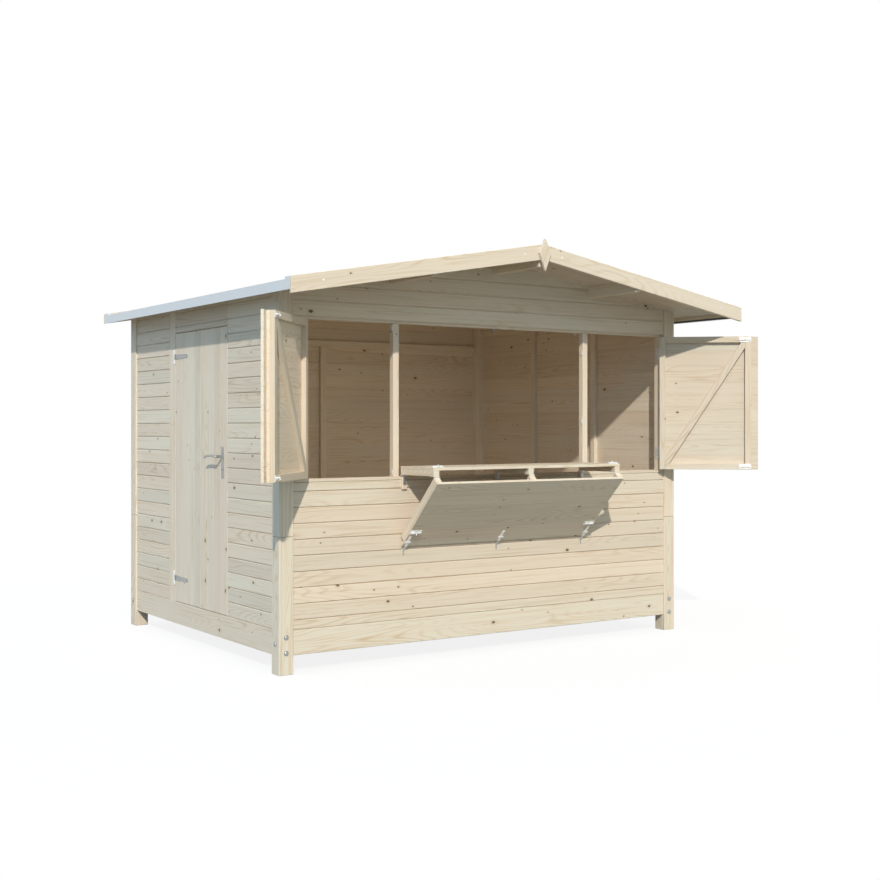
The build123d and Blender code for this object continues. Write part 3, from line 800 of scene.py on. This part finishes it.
def end_bolts(iron, leaf, row):
    """A bolt over each end of a leaf, in a row that lies that far from its free edge."""
    for end, sign in ((leaf.low, 1), (leaf.high, -1)):
        spot = leaf.point(end + sign * BOLT_SETBACK, leaf.free_edge - row, leaf.face)
        barrel_bolt(iron, seat(spot, -leaf.inner, leaf.along * -sign))


def knuckles(iron, foot, height, radius, shares):
    """Hinge knuckles on an upright pin, on the given shares of its height."""
    play = 0.0003
    for start, end in shares:
        iron.rod(foot + Z * (height * start + play), foot + Z * (height * end - play), radius, 18)


def copied(iron, node, wanted):
    """Small hinge parts that keep the frame's shape."""
    for solid in solids_of(node):
        if wanted(centre_of(solid)):
            iron.take(solid)
        else:
            solid.free()


# ---- Operators ----
class Dress:
    """What the operators share."""

    bl_options = {"REGISTER", "UNDO"}


class STALL_OT_posts(Dress, Operator):
    """Corner posts, each cased in two upright boards with a joint low on the post"""

    bl_idname = "stall.posts"
    bl_label = "Corner posts"

    def execute(self, context):
        sizes = context.scene.stall_sizes
        gap = 0.0008
        for end in ("front", "back"):
            for side in ("left", "right"):
                node = f"post_{end}_{side}"
                solid = solids_of(node)[0]
                lumber = Lumber(node + "_boards", (0.55, 1.0))
                (x0, y0, _), (x1, y1, top) = corners_of(solid)
                board = sizes.corner_board
                xs = (x0, x0 + board, x1) if x0 < middle_x else (x1, x1 - board, x0)
                ys = (y0, y0 + board, y1) if y0 < middle_y else (y1, y1 - board, y0)
                side_board = between(solid, X, *sorted(xs[:2]))
                inside = between(solid, X, *sorted(xs[1:]))
                front_board = between(inside, Y, *sorted(ys[:2]))
                core = between(inside, Y, *sorted(ys[1:]))
                for part, axes in ((side_board, (Z, Y, X)), (front_board, (Z, X, Y))):
                    low, high = span(part, axes[1])
                    part = between(part, axes[1], low + gap, high - gap) if part is front_board else part
                    for low, high in ((0.0, sizes.splice - gap), (sizes.splice + gap, top)):
                        lumber.add(eased(between(part, Z, low, high), 0.0016), axes)
                lumber.add(eased(core, sizes.easing), (Z, X, Y))
                lumber.finish("timber", "stall", (node,))
        return {"FINISHED"}


class STALL_OT_walls(Dress, Operator):
    """Tongued wall boards, the gables and the casing beside the door"""

    bl_idname = "stall.walls"
    bl_label = "Walls"

    def execute(self, context):
        sizes = context.scene.stall_sizes
        for node, outward, origin in (
                ("front_wall", -Y, wall_foot + sizes.front_first),
                ("front_gable", -Y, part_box("front_gable")[0].z),
                ("back_wall", Y, wall_foot), ("right_wall", X, wall_foot), ("left_wall_front", -X, wall_foot),
                ("left_wall_over_door", -X, wall_foot)):
            pitch = sizes.wall_pitch if outward.x == 0 else sizes.side_pitch
            self.board_up(node, solids_of(node)[0], outward, pitch, origin, (node,))
        node = "left_wall_back"
        wall = solids_of(node)[0]
        edge, far = span(wall, Y)
        width = sizes.door_casing
        self.board_up(node, between(wall, Y, edge + 2 * width, far), -X, sizes.side_pitch, wall_foot, (node,))
        casing = Lumber("door_casing", (0.6, 1.0))
        for low in (edge, edge + width):
            casing.add(eased(between(wall, Y, low, low + width - 0.0006), 0.0014), (Z, Y, X))
        casing.finish("cladding")
        return {"FINISHED"}

    @staticmethod
    def board_up(name, solid, outward, pitch, origin, nodes):
        # The front gable's boards take a lighter tone range: painted light on a gable that stands in the
        # shade of the roof.
        lumber = Lumber(name + "_boards", (0.8, 1.6)) if name == "front_gable" else Lumber(name + "_boards")
        run = X if abs(outward.y) > 0.5 else Y
        planked(lumber, solid, run, Z, outward, levels(*span(solid, Z), pitch, origin))
        lumber.finish("cladding", "stall", nodes)


class STALL_OT_framing(Dress, Operator):
    """Skirting, joists, plates, studs, the door frame and the timber of the serving opening"""

    bl_idname = "stall.framing"
    bl_label = "Framing"

    def execute(self, context):
        for node in ("skirting_boards", "floor_joists", "wall_plates", "wall_studs", "door_frame",
                     "sill", "opening_jambs", "mullions", "hinge_blocks"):
            timber(node)
        floor = Lumber("floor_planks")
        deck = solids_of("floor_boards")[0]
        pitch = context.scene.stall_sizes.roof_pitch_width
        low, high = span(deck, Y)
        planked(floor, deck, X, Y, Z, levels(low, high, pitch, low))
        floor.finish("cladding", "stall", ("floor_boards",))
        return {"FINISHED"}


class STALL_OT_roof(Dress, Operator):
    """Ridge beam, purlins, eave rails, roof boards, bargeboards, finials, felt and the eaves' metal"""

    bl_idname = "stall.roof"
    bl_label = "Roof"

    def execute(self, context):
        for node in ("ridge_beam", "purlins", "bargeboards", "finials"):
            timber(node)
        rails = Lumber("eave_rails_timber", (0.2, 1.0))
        foot = 0.014    # the rails stop this far above the foot of the eaves' metal
        for solid in solids_of("eave_rails"):
            low, high = span(solid, Z)
            rails.add(eased(between(solid, Z, low + foot, high), 0.0015), (Y, X, Z))
        rails.finish("timber", "stall", ("eave_rails",))
        for side in ("left", "right"):
            node = f"roof_boards_{side}"
            deck = solids_of(node)[0]
            lumber = Lumber(node + "_planks")
            outward = upward(deck)
            slope = outward.cross(Y)
            slope = slope if slope.dot(X) > 0 else -slope
            low, high = span(deck, Y)
            pitch = context.scene.stall_sizes.roof_pitch_width
            planked(lumber, deck, slope, Y, outward, levels(low, high, pitch, low), 0.0015, 0.0016)
            lumber.finish("cladding", "stall", (node,))
        self.lay_felt()
        self.fold_eaves()
        return {"FINISHED"}

    @staticmethod
    def lay_felt():
        """Felt laid from the eaves up, each sheet over the one below, with a strip over the ridge and a strip
        down behind the metal of each eave."""
        sheet, lap, width, cap = 0.0035, 0.09, 0.66, 0.16
        play, crest = 0.0006, 0.0015    # under a lapped sheet, and under the strip at the ridge
        mesh = bmesh.new()
        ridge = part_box("roof_covering")[1]
        for solid in solids_of("roof_covering"):
            outward = upward(solid)
            down = Vector((outward.z, 0.0, -outward.x)) * (1 if outward.x > 0 else -1)
            y0, y1 = span(solid, Y)
            top, foot = span(solid, down)
            base = span(solid, outward)[0]
            lower = foot
            lapped = False
            while lower > top + cap * 0.3:
                upper = max(lower - width - lap, top + 0.006)
                lift = sheet + play if lapped else 0.0
                outline = [(lower, lift), (lower, lift + sheet), (upper, sheet), (upper, 0.0)]
                merge(mesh, extruded(outline, outward * base + Y * y0, down, outward, Y, y1 - y0))
                lapped = True
                lower = upper + lap if upper > top + 0.02 else top
        strip, inset, clear = 0.003, 0.004, 0.0004    # its thickness, short at each end, off the metal
        for solid in solids_of("eave_strips"):
            (x0, y0, low), (x1, y1, high) = corners_of(solid)
            inner = x0 - clear if x0 > middle_x else x1 + clear
            back = inner - math.copysign(strip, x0 - middle_x)
            outline = [(inner, low + strip), (inner, high), (back, high), (back, low + strip)]
            merge(mesh, extruded(outline, Y * (y0 + inset), X, Z, Y, y1 - y0 - inset * 2))
        peak = ridge.z + crest
        drop = ROOF_SLOPE * cap
        fold = [(middle_x, peak + sheet), (middle_x + cap, peak + sheet - drop),
                (middle_x + cap, peak - drop), (middle_x, peak), (middle_x - cap, peak - drop),
                (middle_x - cap, peak + sheet - drop)]
        y0, y1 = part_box("roof_covering")[0].y, ridge.y
        merge(mesh, extruded(fold, Y * y0, X, Z, Y, y1 - y0))
        place_piece("felt_sheets", meshed("felt_sheets", mesh), "felt", "stall", ("roof_covering",))

    @staticmethod
    def fold_eaves():
        """Folded metal along each eave: an upright face, a lip on the felt and a hem along its foot."""
        metal, lip, hem = 0.0015, 0.035, 0.007
        iron = Ironwork("eave_flashings")
        over_boards, block = 0.0045, 0.056    # lip over the roof boards, length of the block at each end
        covering = solids_of("roof_covering")[-1]
        outward = upward(covering)
        seat_height = span(covering, outward)[0] + over_boards
        slope = abs(outward.x) / outward.z
        for solid in solids_of("eave_strips"):
            (x0, y0, z0), (x1, y1, _) = corners_of(solid)
            side = 1 if x0 > middle_x else -1
            face = x1 if side > 0 else x0
            rise = slope * lip
            felt_top = (seat_height - outward.x * (middle_x + abs(face - middle_x))) / outward.z
            outline = [(0.0, z0), (0.0, felt_top + metal), (-lip, felt_top + metal + rise),
                       (-lip, felt_top + rise), (-metal, felt_top), (-metal, z0 + metal),
                       (-hem, z0 + metal * 2.2), (-hem, z0 + metal * 1.2)]
            iron.take(extruded([(face + side * s, z) for s, z in outline], Y * y0, X, Z, Y, y1 - y0))
            for end, inward in ((y0, 1), (y1, -1)):
                foot = Vector((face - side * 0.012, end + inward * 0.03, felt_top + metal))
                iron.flat(seat(foot, Z, Y), rounded(block, 0.022, 0.002), 0.014, 0.002)
        iron.finish("eave_metal", "stall", ("eave_strips",))


class STALL_OT_door(Dress, Operator):
    """The boarded door with its ledges, strap hinges and lever handle"""

    bl_idname = "stall.door"
    bl_label = "Door"

    def execute(self, context):
        sizes = context.scene.stall_sizes
        leaf = solids_of("door_leaf")[0]
        (x0, low, z0), (_, high, z1) = corners_of(leaf)
        lines = levels(low, high, sizes.door_pitch, low)
        middle = len(lines) // 2
        lumber = Lumber("door_boards")
        joint = sizes.fine_joint
        planked(lumber, leaf, Z, Y, -X, lines[:middle] + [lines[middle] - joint], joint, joint)
        planked(lumber, leaf, Z, Y, -X, [lines[middle] + joint] + lines[middle + 1:], joint, joint)
        tongue = Vector((x0 + 0.007, lines[middle] - 0.004, z0))
        outline = [(0.0, 0.0), (0.008, 0.0), (0.008, 0.005), (0.0, 0.005)]
        lumber.add(extruded(outline, tongue, Y, X, Z, z1 - z0), (Z, Y, X))
        lumber.finish("cladding", "door", ("door_leaf",))
        timber("door_ledges", "door")
        self.hang(leaf)
        self.fit_handle(leaf)
        return {"FINISHED"}

    @staticmethod
    def hang(leaf):
        """Strap hinges: tapered straps on the door, upright plates on the casing."""
        face = span(leaf, X)[0]
        pin = Vector(joints["door_hinge"]["pos_m"])
        thickness, knuckle = 0.0025, 0.0045
        root, nose = 0.020, 0.012    # length of the strap's full width, radius of its end
        door_side = Ironwork("door_strap_hinges")
        for solid in solids_of("door_hinge_straps"):
            z = centre_of(solid).z
            (_, y0, z0), (_, _, z1) = corners_of(solid)
            half = (z1 - z0) / 2
            length = pin.y - y0
            place = seat((face, pin.y, z), -X, -Y)
            tip = [(length - nose + nose * math.cos(a), nose * math.sin(a))
                   for a in (-math.pi / 2, -math.pi / 4, 0.0, math.pi / 4, math.pi / 2)]
            spots = [(root, 0.010), (root, -0.010)]
            spots += [(length * share, 0.0) for share in (0.3, 0.52, 0.74, 0.92)]
            outline = [(0.0, -half), (root, -half), *tip, (root, half), (0.0, half)]
            door_side.plate(place, outline, thickness, spots)
            knuckles(door_side, Vector((pin.x, pin.y, z0)), z1 - z0, knuckle, ((0.0, 1.0),))
            solid.free()
        # The straps take the darker steel, partly as painted shade.
        door_side.finish("dark_steel_and_shade", "door", ("door_hinge_straps",))
        wall_side = Ironwork("door_hinge_wall_plates")
        for solid in solids_of("door_hinge_plates"):
            (_, _, z0), (_, y1, z1) = corners_of(solid)
            height = z1 - z0
            width = y1 - pin.y - 0.002
            place = seat((face, y1 - width / 2, (z0 + z1) / 2), -X, Z)
            spots = [(height * share, 0.003) for share in (-0.38, -0.13, 0.13, 0.38)]
            wall_side.plate(place, rounded(height, width, 0.004), thickness, spots, 0.0045)
            knuckles(wall_side, Vector((pin.x, pin.y, z0)), height, knuckle, ((0.0, 0.32), (0.68, 1.0)))
            solid.free()
        wall_side.finish("zinc", "stall", ("door_hinge_plates",))

    @staticmethod
    def fit_handle(leaf):
        """A lever on a long plate, with a keyhole under it."""
        face = span(leaf, X)[0]
        low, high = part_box("door_handle")
        width = 0.038
        y = low.y + width / 2
        lever_x = low.x + 0.008
        lever_z = high.z - (high.z - low.z) * 0.3
        iron = Ironwork("door_lever_handle")
        place = seat((face, y, (low.z + high.z) / 2), -X, Z)
        spots = [(share * (high.z - low.z), 0.0) for share in (-0.43, 0.43)]
        iron.plate(place, rounded(high.z - low.z, width, 0.012, 6), 0.003, spots, 0.005, 0.0012)
        rose = seat((face, y, lever_z), -X, Z)
        iron.turned(rose, [(0.0, 0.0), (0.0145, 0.0), (0.0145, 0.0055), (0.011, 0.008), (0.0085, 0.010),
                           (0.0075, 0.030), (0.0, 0.032)])
        reach = high.y - y - 0.001
        grip = [(face - 0.028, y, lever_z), (lever_x + 0.006, y + 0.001, lever_z),
                (lever_x, y + 0.016, lever_z + 0.001), (lever_x, y + reach * 0.45, lever_z + 0.003),
                (lever_x, y + reach * 0.8, lever_z), (lever_x + 0.002, y + reach, lever_z - 0.008)]
        iron.bent([Vector(point) for point in grip], 0.0078, 16)
        collar = seat((face, y, low.z + 0.055), -X, Z)
        iron.turned(collar, [(0.0, 0.0), (0.0095, 0.0), (0.0095, 0.0045), (0.0075, 0.0058), (0.0, 0.0058)])
        iron.finish("dark_steel_and_shade", "door", ("door_handle",))
        # The keyhole is a thin near-black disc and slit on the collar: painted shade in place of a hole.
        hole = Ironwork("door_keyhole")
        keyway, depth = raised(collar, 0.0056), 0.0006
        hole.turned(keyway, [(0.0, 0.0), (0.0028, 0.0), (0.0028, depth), (0.0, depth)])
        slit = keyway @ Matrix.Translation((-0.004, 0.0, 0.0))
        hole.flat(slit, rounded(0.007, 0.0022, 0.0004, 1), depth, 0.0001)
        hole.finish("keyhole_shade", "door")


class STALL_OT_shutters(Dress, Operator):
    """The two boarded shutters with their frames, braces, bolts and hinges"""

    bl_idname = "stall.shutters"
    bl_label = "Shutters"

    def execute(self, context):
        sizes = context.scene.stall_sizes
        for side in ("left", "right"):
            body = f"{side}_shutter"
            boards, backing = f"shutter_{side}_boards", f"shutter_{side}_frame"
            leaf = Leaf(boards, backing, f"{side}_shutter_hinge")
            # The left shutter's boards take a lighter tone range (painted light); the right shutter's boards
            # and both frames take darker ones (painted shade).
            lumber = Lumber(boards + "_planks", (1.2, 1.8) if side == "left" else (-0.6, -0.1))
            back = Lumber(backing + "_timber", (-0.6, 0.1))
            joint = sizes.fine_joint / 2
            lines = levels(leaf.low, leaf.high, sizes.shutter_pitch, leaf.low)
            planked(lumber, leaf.panel, leaf.free, Z, leaf.inner, lines, joint, joint)
            for solid in solids_of(backing):
                if span(solid, leaf.inner)[1] < leaf.face + 0.001:
                    planked(lumber, solid, leaf.free, Z, leaf.inner, lines, joint, joint)
                    solid.free()
                else:
                    axes = axes_of(solid)
                    back.add(eased(solid, 0.0009), axes)
            lumber.finish("cladding", body, (boards,))
            back.finish("timber", body, (backing,))
            self.fit(side, body, leaf)
        return {"FINISHED"}

    @staticmethod
    def fit(side, body, leaf):
        iron = Ironwork(f"shutter_{side}_ironwork")
        jamb = Ironwork(f"shutter_{side}_jamb_hinges")
        post = solids_of("opening_jambs")[-1 if side == "right" else 0]
        reveal = span(post, X)[0 if side == "right" else 1]
        toward = -X if side == "right" else X
        jamb_front = span(post, Y)[0]
        for z in (leaf.low + BOLT_ROW, leaf.high - BOLT_ROW):
            spot = leaf.point(z, leaf.free_edge - BOLT_SETBACK, leaf.lining)
            barrel_bolt(iron, seat(spot, leaf.inner, leaf.free))
        height, knuckle, hinge_row = 0.080, 0.0064, 0.110
        for z in (leaf.low + hinge_row, leaf.high - hinge_row):
            place = seat(leaf.point(z, leaf.hinge_edge + 0.0185, leaf.face), -leaf.inner, Z)
            iron.plate(place, rounded(height, 0.037, CORNER), PLATE, four(0.028, 0.007))
            foot = Vector((leaf.pin.x, leaf.pin.y, z - height / 2))
            knuckles(iron, foot, height, knuckle, ((0.0, 0.2), (0.4, 0.6), (0.8, 1.0)))
            knuckles(jamb, foot, height, knuckle, ((0.2, 0.4), (0.6, 0.8)))
            place = seat((reveal, jamb_front + 0.019, z), toward, Z)
            jamb.plate(place, rounded(height, 0.034, CORNER), THIN_PLATE, four(0.028, 0.008), 0.0036)
        iron.finish("zinc", body, (f"shutter_{side}_fittings",))
        jamb.finish("zinc")


class STALL_OT_hatch(Dress, Operator):
    """The counter leaf and the leaf that braces it, with battens, bolts, hinges and hooks"""

    bl_idname = "stall.hatch"
    bl_label = "Folding hatch"

    def execute(self, context):
        sizes = context.scene.stall_sizes
        joint = sizes.fine_joint / 2
        for leaf_name, backing, joint_name in (("counter", "counter_battens", "counter_hinge"),
                                               ("brace", "brace_battens", "brace_hinge")):
            leaf = Leaf(leaf_name + "_boards", backing, joint_name)
            body = leaf_name + "_leaf"
            # The brace leaf's boards take a darker tone range: painted shade on a leaf that faces down into
            # shade.
            lumber = Lumber(leaf_name + "_planks", (0.5, 1.0) if leaf_name == "counter" else (0.0, 0.4))
            lines = levels(leaf.hinge_edge, leaf.free_edge, sizes.shutter_pitch, leaf.hinge_edge)
            planked(lumber, leaf.panel, leaf.along, leaf.free, -leaf.inner, lines, joint, joint)
            lumber.finish("cladding", body, (leaf_name + "_boards",))
            timber(backing, body, (0.5, 1.0), 0.0018)
            if leaf_name == "counter":
                self.fit_counter(leaf)
            else:
                self.fit_brace(leaf)
        return {"FINISHED"}

    @staticmethod
    def fit_counter(leaf):
        iron = Ironwork("counter_ironwork")
        end_bolts(iron, leaf, BOLT_ROW)
        under = leaf.face + 0.03
        copied(iron, "counter_fittings", lambda centre: centre.dot(leaf.inner) > under)
        iron.finish("zinc", "counter_leaf", ("counter_fittings",))

    @staticmethod
    def fit_brace(leaf):
        iron = Ironwork("brace_ironwork")
        out = -leaf.inner
        end_bolts(iron, leaf, 0.125)
        wall_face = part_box("front_wall")[0].y
        strap, width, wire_radius = 0.095, 0.018, 0.0015
        for x in (centre_of(solid).x for solid in solids_of("hinge_blocks")):
            edge = leaf.point(0.0, leaf.free_edge, leaf.face)
            edge.x = x
            place = seat(edge - leaf.free * (strap / 2), out, leaf.free)
            iron.plate(place, rounded(strap, width, 0.004), PLATE, [(-0.038, 0.0), (-0.022, 0.0)], 0.0038)
            bridge = place @ Matrix.Translation((strap / 2 - 0.040, 0.0, PLATE))
            iron.flat(bridge, rounded(0.015, 0.040, CORNER), 0.005)
            for sign in (-1, 1):
                start = edge - leaf.free * 0.034 + out * 0.006 + X * (sign * 0.008)
                over = edge + leaf.free * 0.002 + out * 0.007 + X * (sign * 0.002)
                wall = Vector((x - sign * 0.010, wall_face - 0.004, edge.z - 0.024))
                wire = [start, (start + over) / 2 + out * 0.002, over, (over + wall) / 2 - Z * 0.001, wall]
                iron.bent(wire, wire_radius)
        board_side = leaf.face + 0.004
        copied(iron, "brace_fittings", lambda centre: centre.dot(leaf.inner) > board_side)
        iron.finish("zinc", "brace_leaf", ("brace_fittings",))


class STALL_OT_fixings(Dress, Operator):
    """Bolts, hook plates, keepers, catches and screws on the fixed parts"""

    bl_idname = "stall.fixings"
    bl_label = "Fixings"

    def execute(self, context):
        iron = Ironwork("wall_ironwork")
        bolts = Ironwork("coach_bolts")
        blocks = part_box("hinge_blocks")
        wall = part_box("front_wall")[0].y
        for solid in solids_of("wall_fittings"):
            centre = centre_of(solid)
            if centre.z < 0.3:
                self.bolt(bolts, centre)
                solid.free()
            elif centre.z > blocks[0].z:
                iron.take(solid)
            else:
                low, high = span(solid, Z)
                self.hook_plate(bolts, Vector((centre.x, wall, (low + high) / 2)), high - low)
                solid.free()
        for solid in solids_of("hinge_blocks"):
            low, high = corners_of(solid)
            place = seat(((low.x + high.x) / 2, low.y, high.z - 0.026), -Y, Z)
            outline = rounded(0.046, (high.x - low.x) * 0.66, CORNER)
            bolts.plate(place, outline, 0.0020, four(0.015, 0.005), 0.0030)
            solid.free()
        iron.finish("zinc", "stall", ("wall_fittings",))
        bolts.finish("dark_steel_and_shade")
        self.keepers()
        self.catches()
        self.bargeboard_screws()
        return {"FINISHED"}

    @staticmethod
    def bolt(iron, centre):
        """A coach bolt's round head on a washer, out of the nearest post face."""
        faces = [(centre.x - left_face, -X), (right_face - centre.x, X), (centre.y - front_face, -Y),
                 (back_face - centre.y, Y)]
        depth, out = min(faces, key=lambda face: face[0])
        foot = centre + out * depth
        place = seat(foot, out, Z)
        iron.turned(place, [(0.0, 0.0), (0.0145, 0.0), (0.0145, 0.0014), (0.0122, 0.0020), (0.0118, 0.0040),
                            (0.0100, 0.0068), (0.0066, 0.0086), (0.0, 0.0092)], 28)

    @staticmethod
    def hook_plate(iron, centre, height):
        """A narrow plate on the wall with the eye that the hooks of the brace leaf drop into."""
        place = seat(centre, -Y, Z)
        iron.plate(place, rounded(height, 0.008, CORNER), 0.0020, [(-0.019, 0.0), (-0.007, 0.0)], 0.0026)
        top = centre + Z * (height * 0.32)
        arch = [top + Vector((0.005 * math.cos(a), -0.002 - 0.006 * math.sin(a), 0.0))
                for a in (0.0, 0.9, math.pi / 2, math.pi - 0.9, math.pi)]
        iron.bent(arch, 0.0015, 8)

    @staticmethod
    def keepers():
        """Keepers for the bolts, on the mullions."""
        iron = Ironwork("bolt_keepers")
        hatch_bolts = (1.416, 1.859)    # about where the bolts of the closed hatch come to
        front, back = (corner.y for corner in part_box("mullions"))
        y = (front + back) / 2 - 0.006
        leaf_low, leaf_high = (corner.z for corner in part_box("shutter_right_boards"))
        for solid in solids_of("mullions"):
            x0, x1 = span(solid, X)
            side = 1 if x0 > middle_x else -1
            outer, inner = (x1, x0) if side > 0 else (x0, x1)
            spots = [(outer, side, z) for z in (leaf_low + BOLT_ROW, leaf_high - BOLT_ROW)]
            spots += [(inner, -side, z) for z in hatch_bolts]
            for x, sign, z in spots:
                place = seat((x, y, z), X * sign, Z)
                iron.flat(place, rounded(0.034, 0.022, CORNER), THIN_PLATE)
                iron.turned(place, [(0.0, 0.0), (0.0068, 0.0), (0.0068, 0.0042), (0.0046, 0.0042),
                                    (0.0046, 0.0025), (0.0, 0.0025)], 18)
                iron.screws(raised(place, THIN_PLATE), [(-0.0125, 0.0), (0.0125, 0.0)], 0.0032)
            solid.free()
        iron.finish("zinc")

    @staticmethod
    def catches():
        """Two small catches under the head of the opening and a plate on the left mullion."""
        iron = Ironwork("head_catches")
        plate_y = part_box("mullions")[0].y + 0.024
        left, right = solids_of("mullions")
        spot = Vector((span(left, X)[0], plate_y, head - 0.040))
        iron.flat(seat(spot, -X, Z), rounded(0.026, 0.014, CORNER), 0.0016)
        for x in (middle_x, span(right, X)[0] - 0.050):
            place = seat((x, plate_y, head), -Z, X)
            iron.flat(place, rounded(0.026, 0.018, CORNER), THIN_PLATE)
            foot = Vector((x, plate_y, head - THIN_PLATE))
            iron.bent([foot, foot - Z * 0.009, foot - Z * 0.017 - Y * 0.003, foot - Z * 0.021 - Y * 0.009,
                       foot - Z * 0.015 - Y * 0.013], 0.0032, 10)
        iron.finish("dark_steel_and_shade")

    @staticmethod
    def bargeboard_screws():
        """Pale screw heads near the ends of the bargeboards."""
        iron = Ironwork("bargeboard_screws")
        from_peak, from_eave = 0.14, 0.19
        for solid in solids_of("bargeboards"):
            (x0, y0, _), (x1, y1, _) = corners_of(solid)
            ahead = -1 if (y0 + y1) / 2 < middle_y else 1
            face = y0 if ahead < 0 else y1
            peak, eave = (x1, x0) if x0 < middle_x - 0.1 else (x0, x1)
            centre = centre_of(solid)
            away = math.copysign(1, eave - peak)
            for x in (peak + from_peak * away, eave - from_eave * away):
                z = centre.z - (abs(x - middle_x) - abs(centre.x - middle_x)) * ROOF_SLOPE
                iron.dome(seat((x, face, z), Y * ahead, X), 0.0065, 0.0024, 16)
            solid.free()
        iron.finish("zinc")


class STALL_OT_stage(Dress, Operator):
    """A pale floor, soft light all round, the sun and the camera"""

    bl_idname = "stall.stage"
    bl_label = "Stage"

    def execute(self, context):
        stage = context.scene.stall_stage
        self.lay_floor()
        self.light_world(stage)
        sun = bpy.data.lights.new("sun", "SUN")
        sun.energy = stage.sun_strength
        sun.color = stage.sun_colour
        sun.angle = stage.sun_spread
        lamp = placed("sun", sun)
        lamp.rotation_euler = Vector(stage.sun_travel).to_track_quat("-Z", "Y").to_euler()
        glow = bpy.data.lights.new("inside_light", "POINT")
        glow.energy = stage.inside_strength
        glow.color = stage.inside_colour
        glow.shadow_soft_size = GLOW_RADIUS
        inside = placed("inside_light", glow)
        inside.location = (middle_x, middle_y, (sill_top + head) / 2)
        inside.visible_camera = False
        inside.visible_glossy = False
        camera = bpy.data.cameras.new("camera")
        camera.lens = stage.camera_lens
        camera.sensor_width = 36.0
        camera.shift_y = stage.camera_shift
        camera.clip_end = 200.0
        view = placed("camera", camera)
        view.location = stage.camera_place
        view.rotation_euler = (math.pi / 2, 0.0, -stage.camera_turn)
        context.scene.camera = view
        context.scene.view_settings.view_transform = "Standard"
        return {"FINISHED"}

    @staticmethod
    def shown(graph):
        """1 where a ray carries what is seen: straight on, in a reflection or through glass."""
        path = graph.node("ShaderNodeLightPath", None, None, "Is Camera Ray")
        seen = path.math("MAXIMUM", path, path.other("Is Glossy Ray"))
        return seen.math("MAXIMUM", seen, path.other("Is Transmission Ray"))

    def lay_floor(self):
        """A wide round floor that keeps the shadow near the stall and fades into white."""
        mesh = bmesh.new()
        bmesh.ops.create_circle(mesh, cap_ends=True, segments=96, radius=FLOOR_RADIUS)
        bmesh.ops.translate(mesh, verts=mesh.verts, vec=(middle_x, middle_y, -0.0005))
        sheet = meshed("floor", mesh)
        floor = placed("floor", sheet)
        material = bpy.data.materials.new("studio_floor")
        graph = Graph(material)
        place = graph.node("ShaderNodeNewGeometry", None, None, "Position")
        away = graph.node("ShaderNodeVectorMath", {"operation": "DISTANCE"},
                          {0: place, 1: (middle_x, middle_y, 0.0)}, "Value")
        fade = graph.ease(away, 2.6, 5.5, 0.86, 1.0)
        matt = graph.node("ShaderNodeBsdfDiffuse", None, {"Color": (*colours().floor, 1.0)})
        bounce = graph.node("ShaderNodeBsdfDiffuse", None, {"Color": (0.20, 0.205, 0.19, 1.0)})
        white = graph.node("ShaderNodeEmission", None, {"Color": (1.0, 1.0, 1.0, 1.0), "Strength": 1.0})
        seen = graph.node("ShaderNodeMixShader", None, {0: fade, 1: matt, 2: white})
        surface = graph.node("ShaderNodeMixShader", None, {0: self.shown(graph), 1: bounce, 2: seen})
        graph.node("ShaderNodeOutputMaterial", None, {"Surface": surface})
        sheet.materials.append(material)

    def light_world(self, stage):
        world = bpy.data.worlds.new("studio")
        bpy.context.scene.world = world
        graph = Graph(world)
        place = graph.node("ShaderNodeTexCoord", None, None, "Generated")
        side = graph.node("ShaderNodeSeparateXYZ", None, {0: place})
        soft = graph.blend(graph.ease(side, 0.1, -0.7), stage.sky_colour, stage.left_sky_colour)
        colour = graph.blend(self.shown(graph), soft, (1.0, 1.0, 1.0))
        light = graph.node("ShaderNodeBackground", None, {"Color": colour, "Strength": 1.0})
        graph.node("ShaderNodeOutputWorld", None, {"Surface": light})


GROUPS = {"stall_sizes": StallSizes, "stall_colours": StallColours, "stall_stage": StallStage}
OPERATORS = (STALL_OT_posts, STALL_OT_walls, STALL_OT_framing, STALL_OT_roof, STALL_OT_door,
             STALL_OT_shutters, STALL_OT_hatch, STALL_OT_fixings, STALL_OT_stage)


class STALL_PT_panel(Panel):
    """Lists the steps that dress the stall"""

    bl_idname = "STALL_PT_panel"
    bl_label = "Market stall"
    bl_space_type = "VIEW_3D"
    bl_region_type = "UI"
    bl_category = "Stall"

    def draw(self, context):
        for operator in OPERATORS:
            self.layout.operator(operator.bl_idname)
        for group in GROUPS:
            owner = getattr(context.scene, group)
            box = self.layout.box()
            for name in owner.__annotations__:
                box.prop(owner, name)


CLASSES = (*GROUPS.values(), *OPERATORS, STALL_PT_panel)


def register():
    for item in CLASSES:
        bpy.utils.register_class(item)
    for name, group in GROUPS.items():
        setattr(bpy.types.Scene, name, PointerProperty(type=group))


def unregister():
    for name in GROUPS:
        delattr(bpy.types.Scene, name)
    for item in reversed(CLASSES):
        bpy.utils.unregister_class(item)


def main():
    register()
    bpy.ops.stall.stage()
    bpy.ops.stall.posts()
    bpy.ops.stall.walls()
    bpy.ops.stall.framing()
    bpy.ops.stall.roof()
    bpy.ops.stall.door()
    bpy.ops.stall.shutters()
    bpy.ops.stall.hatch()
    bpy.ops.stall.fixings()


if __name__ == "__main__":
    main()
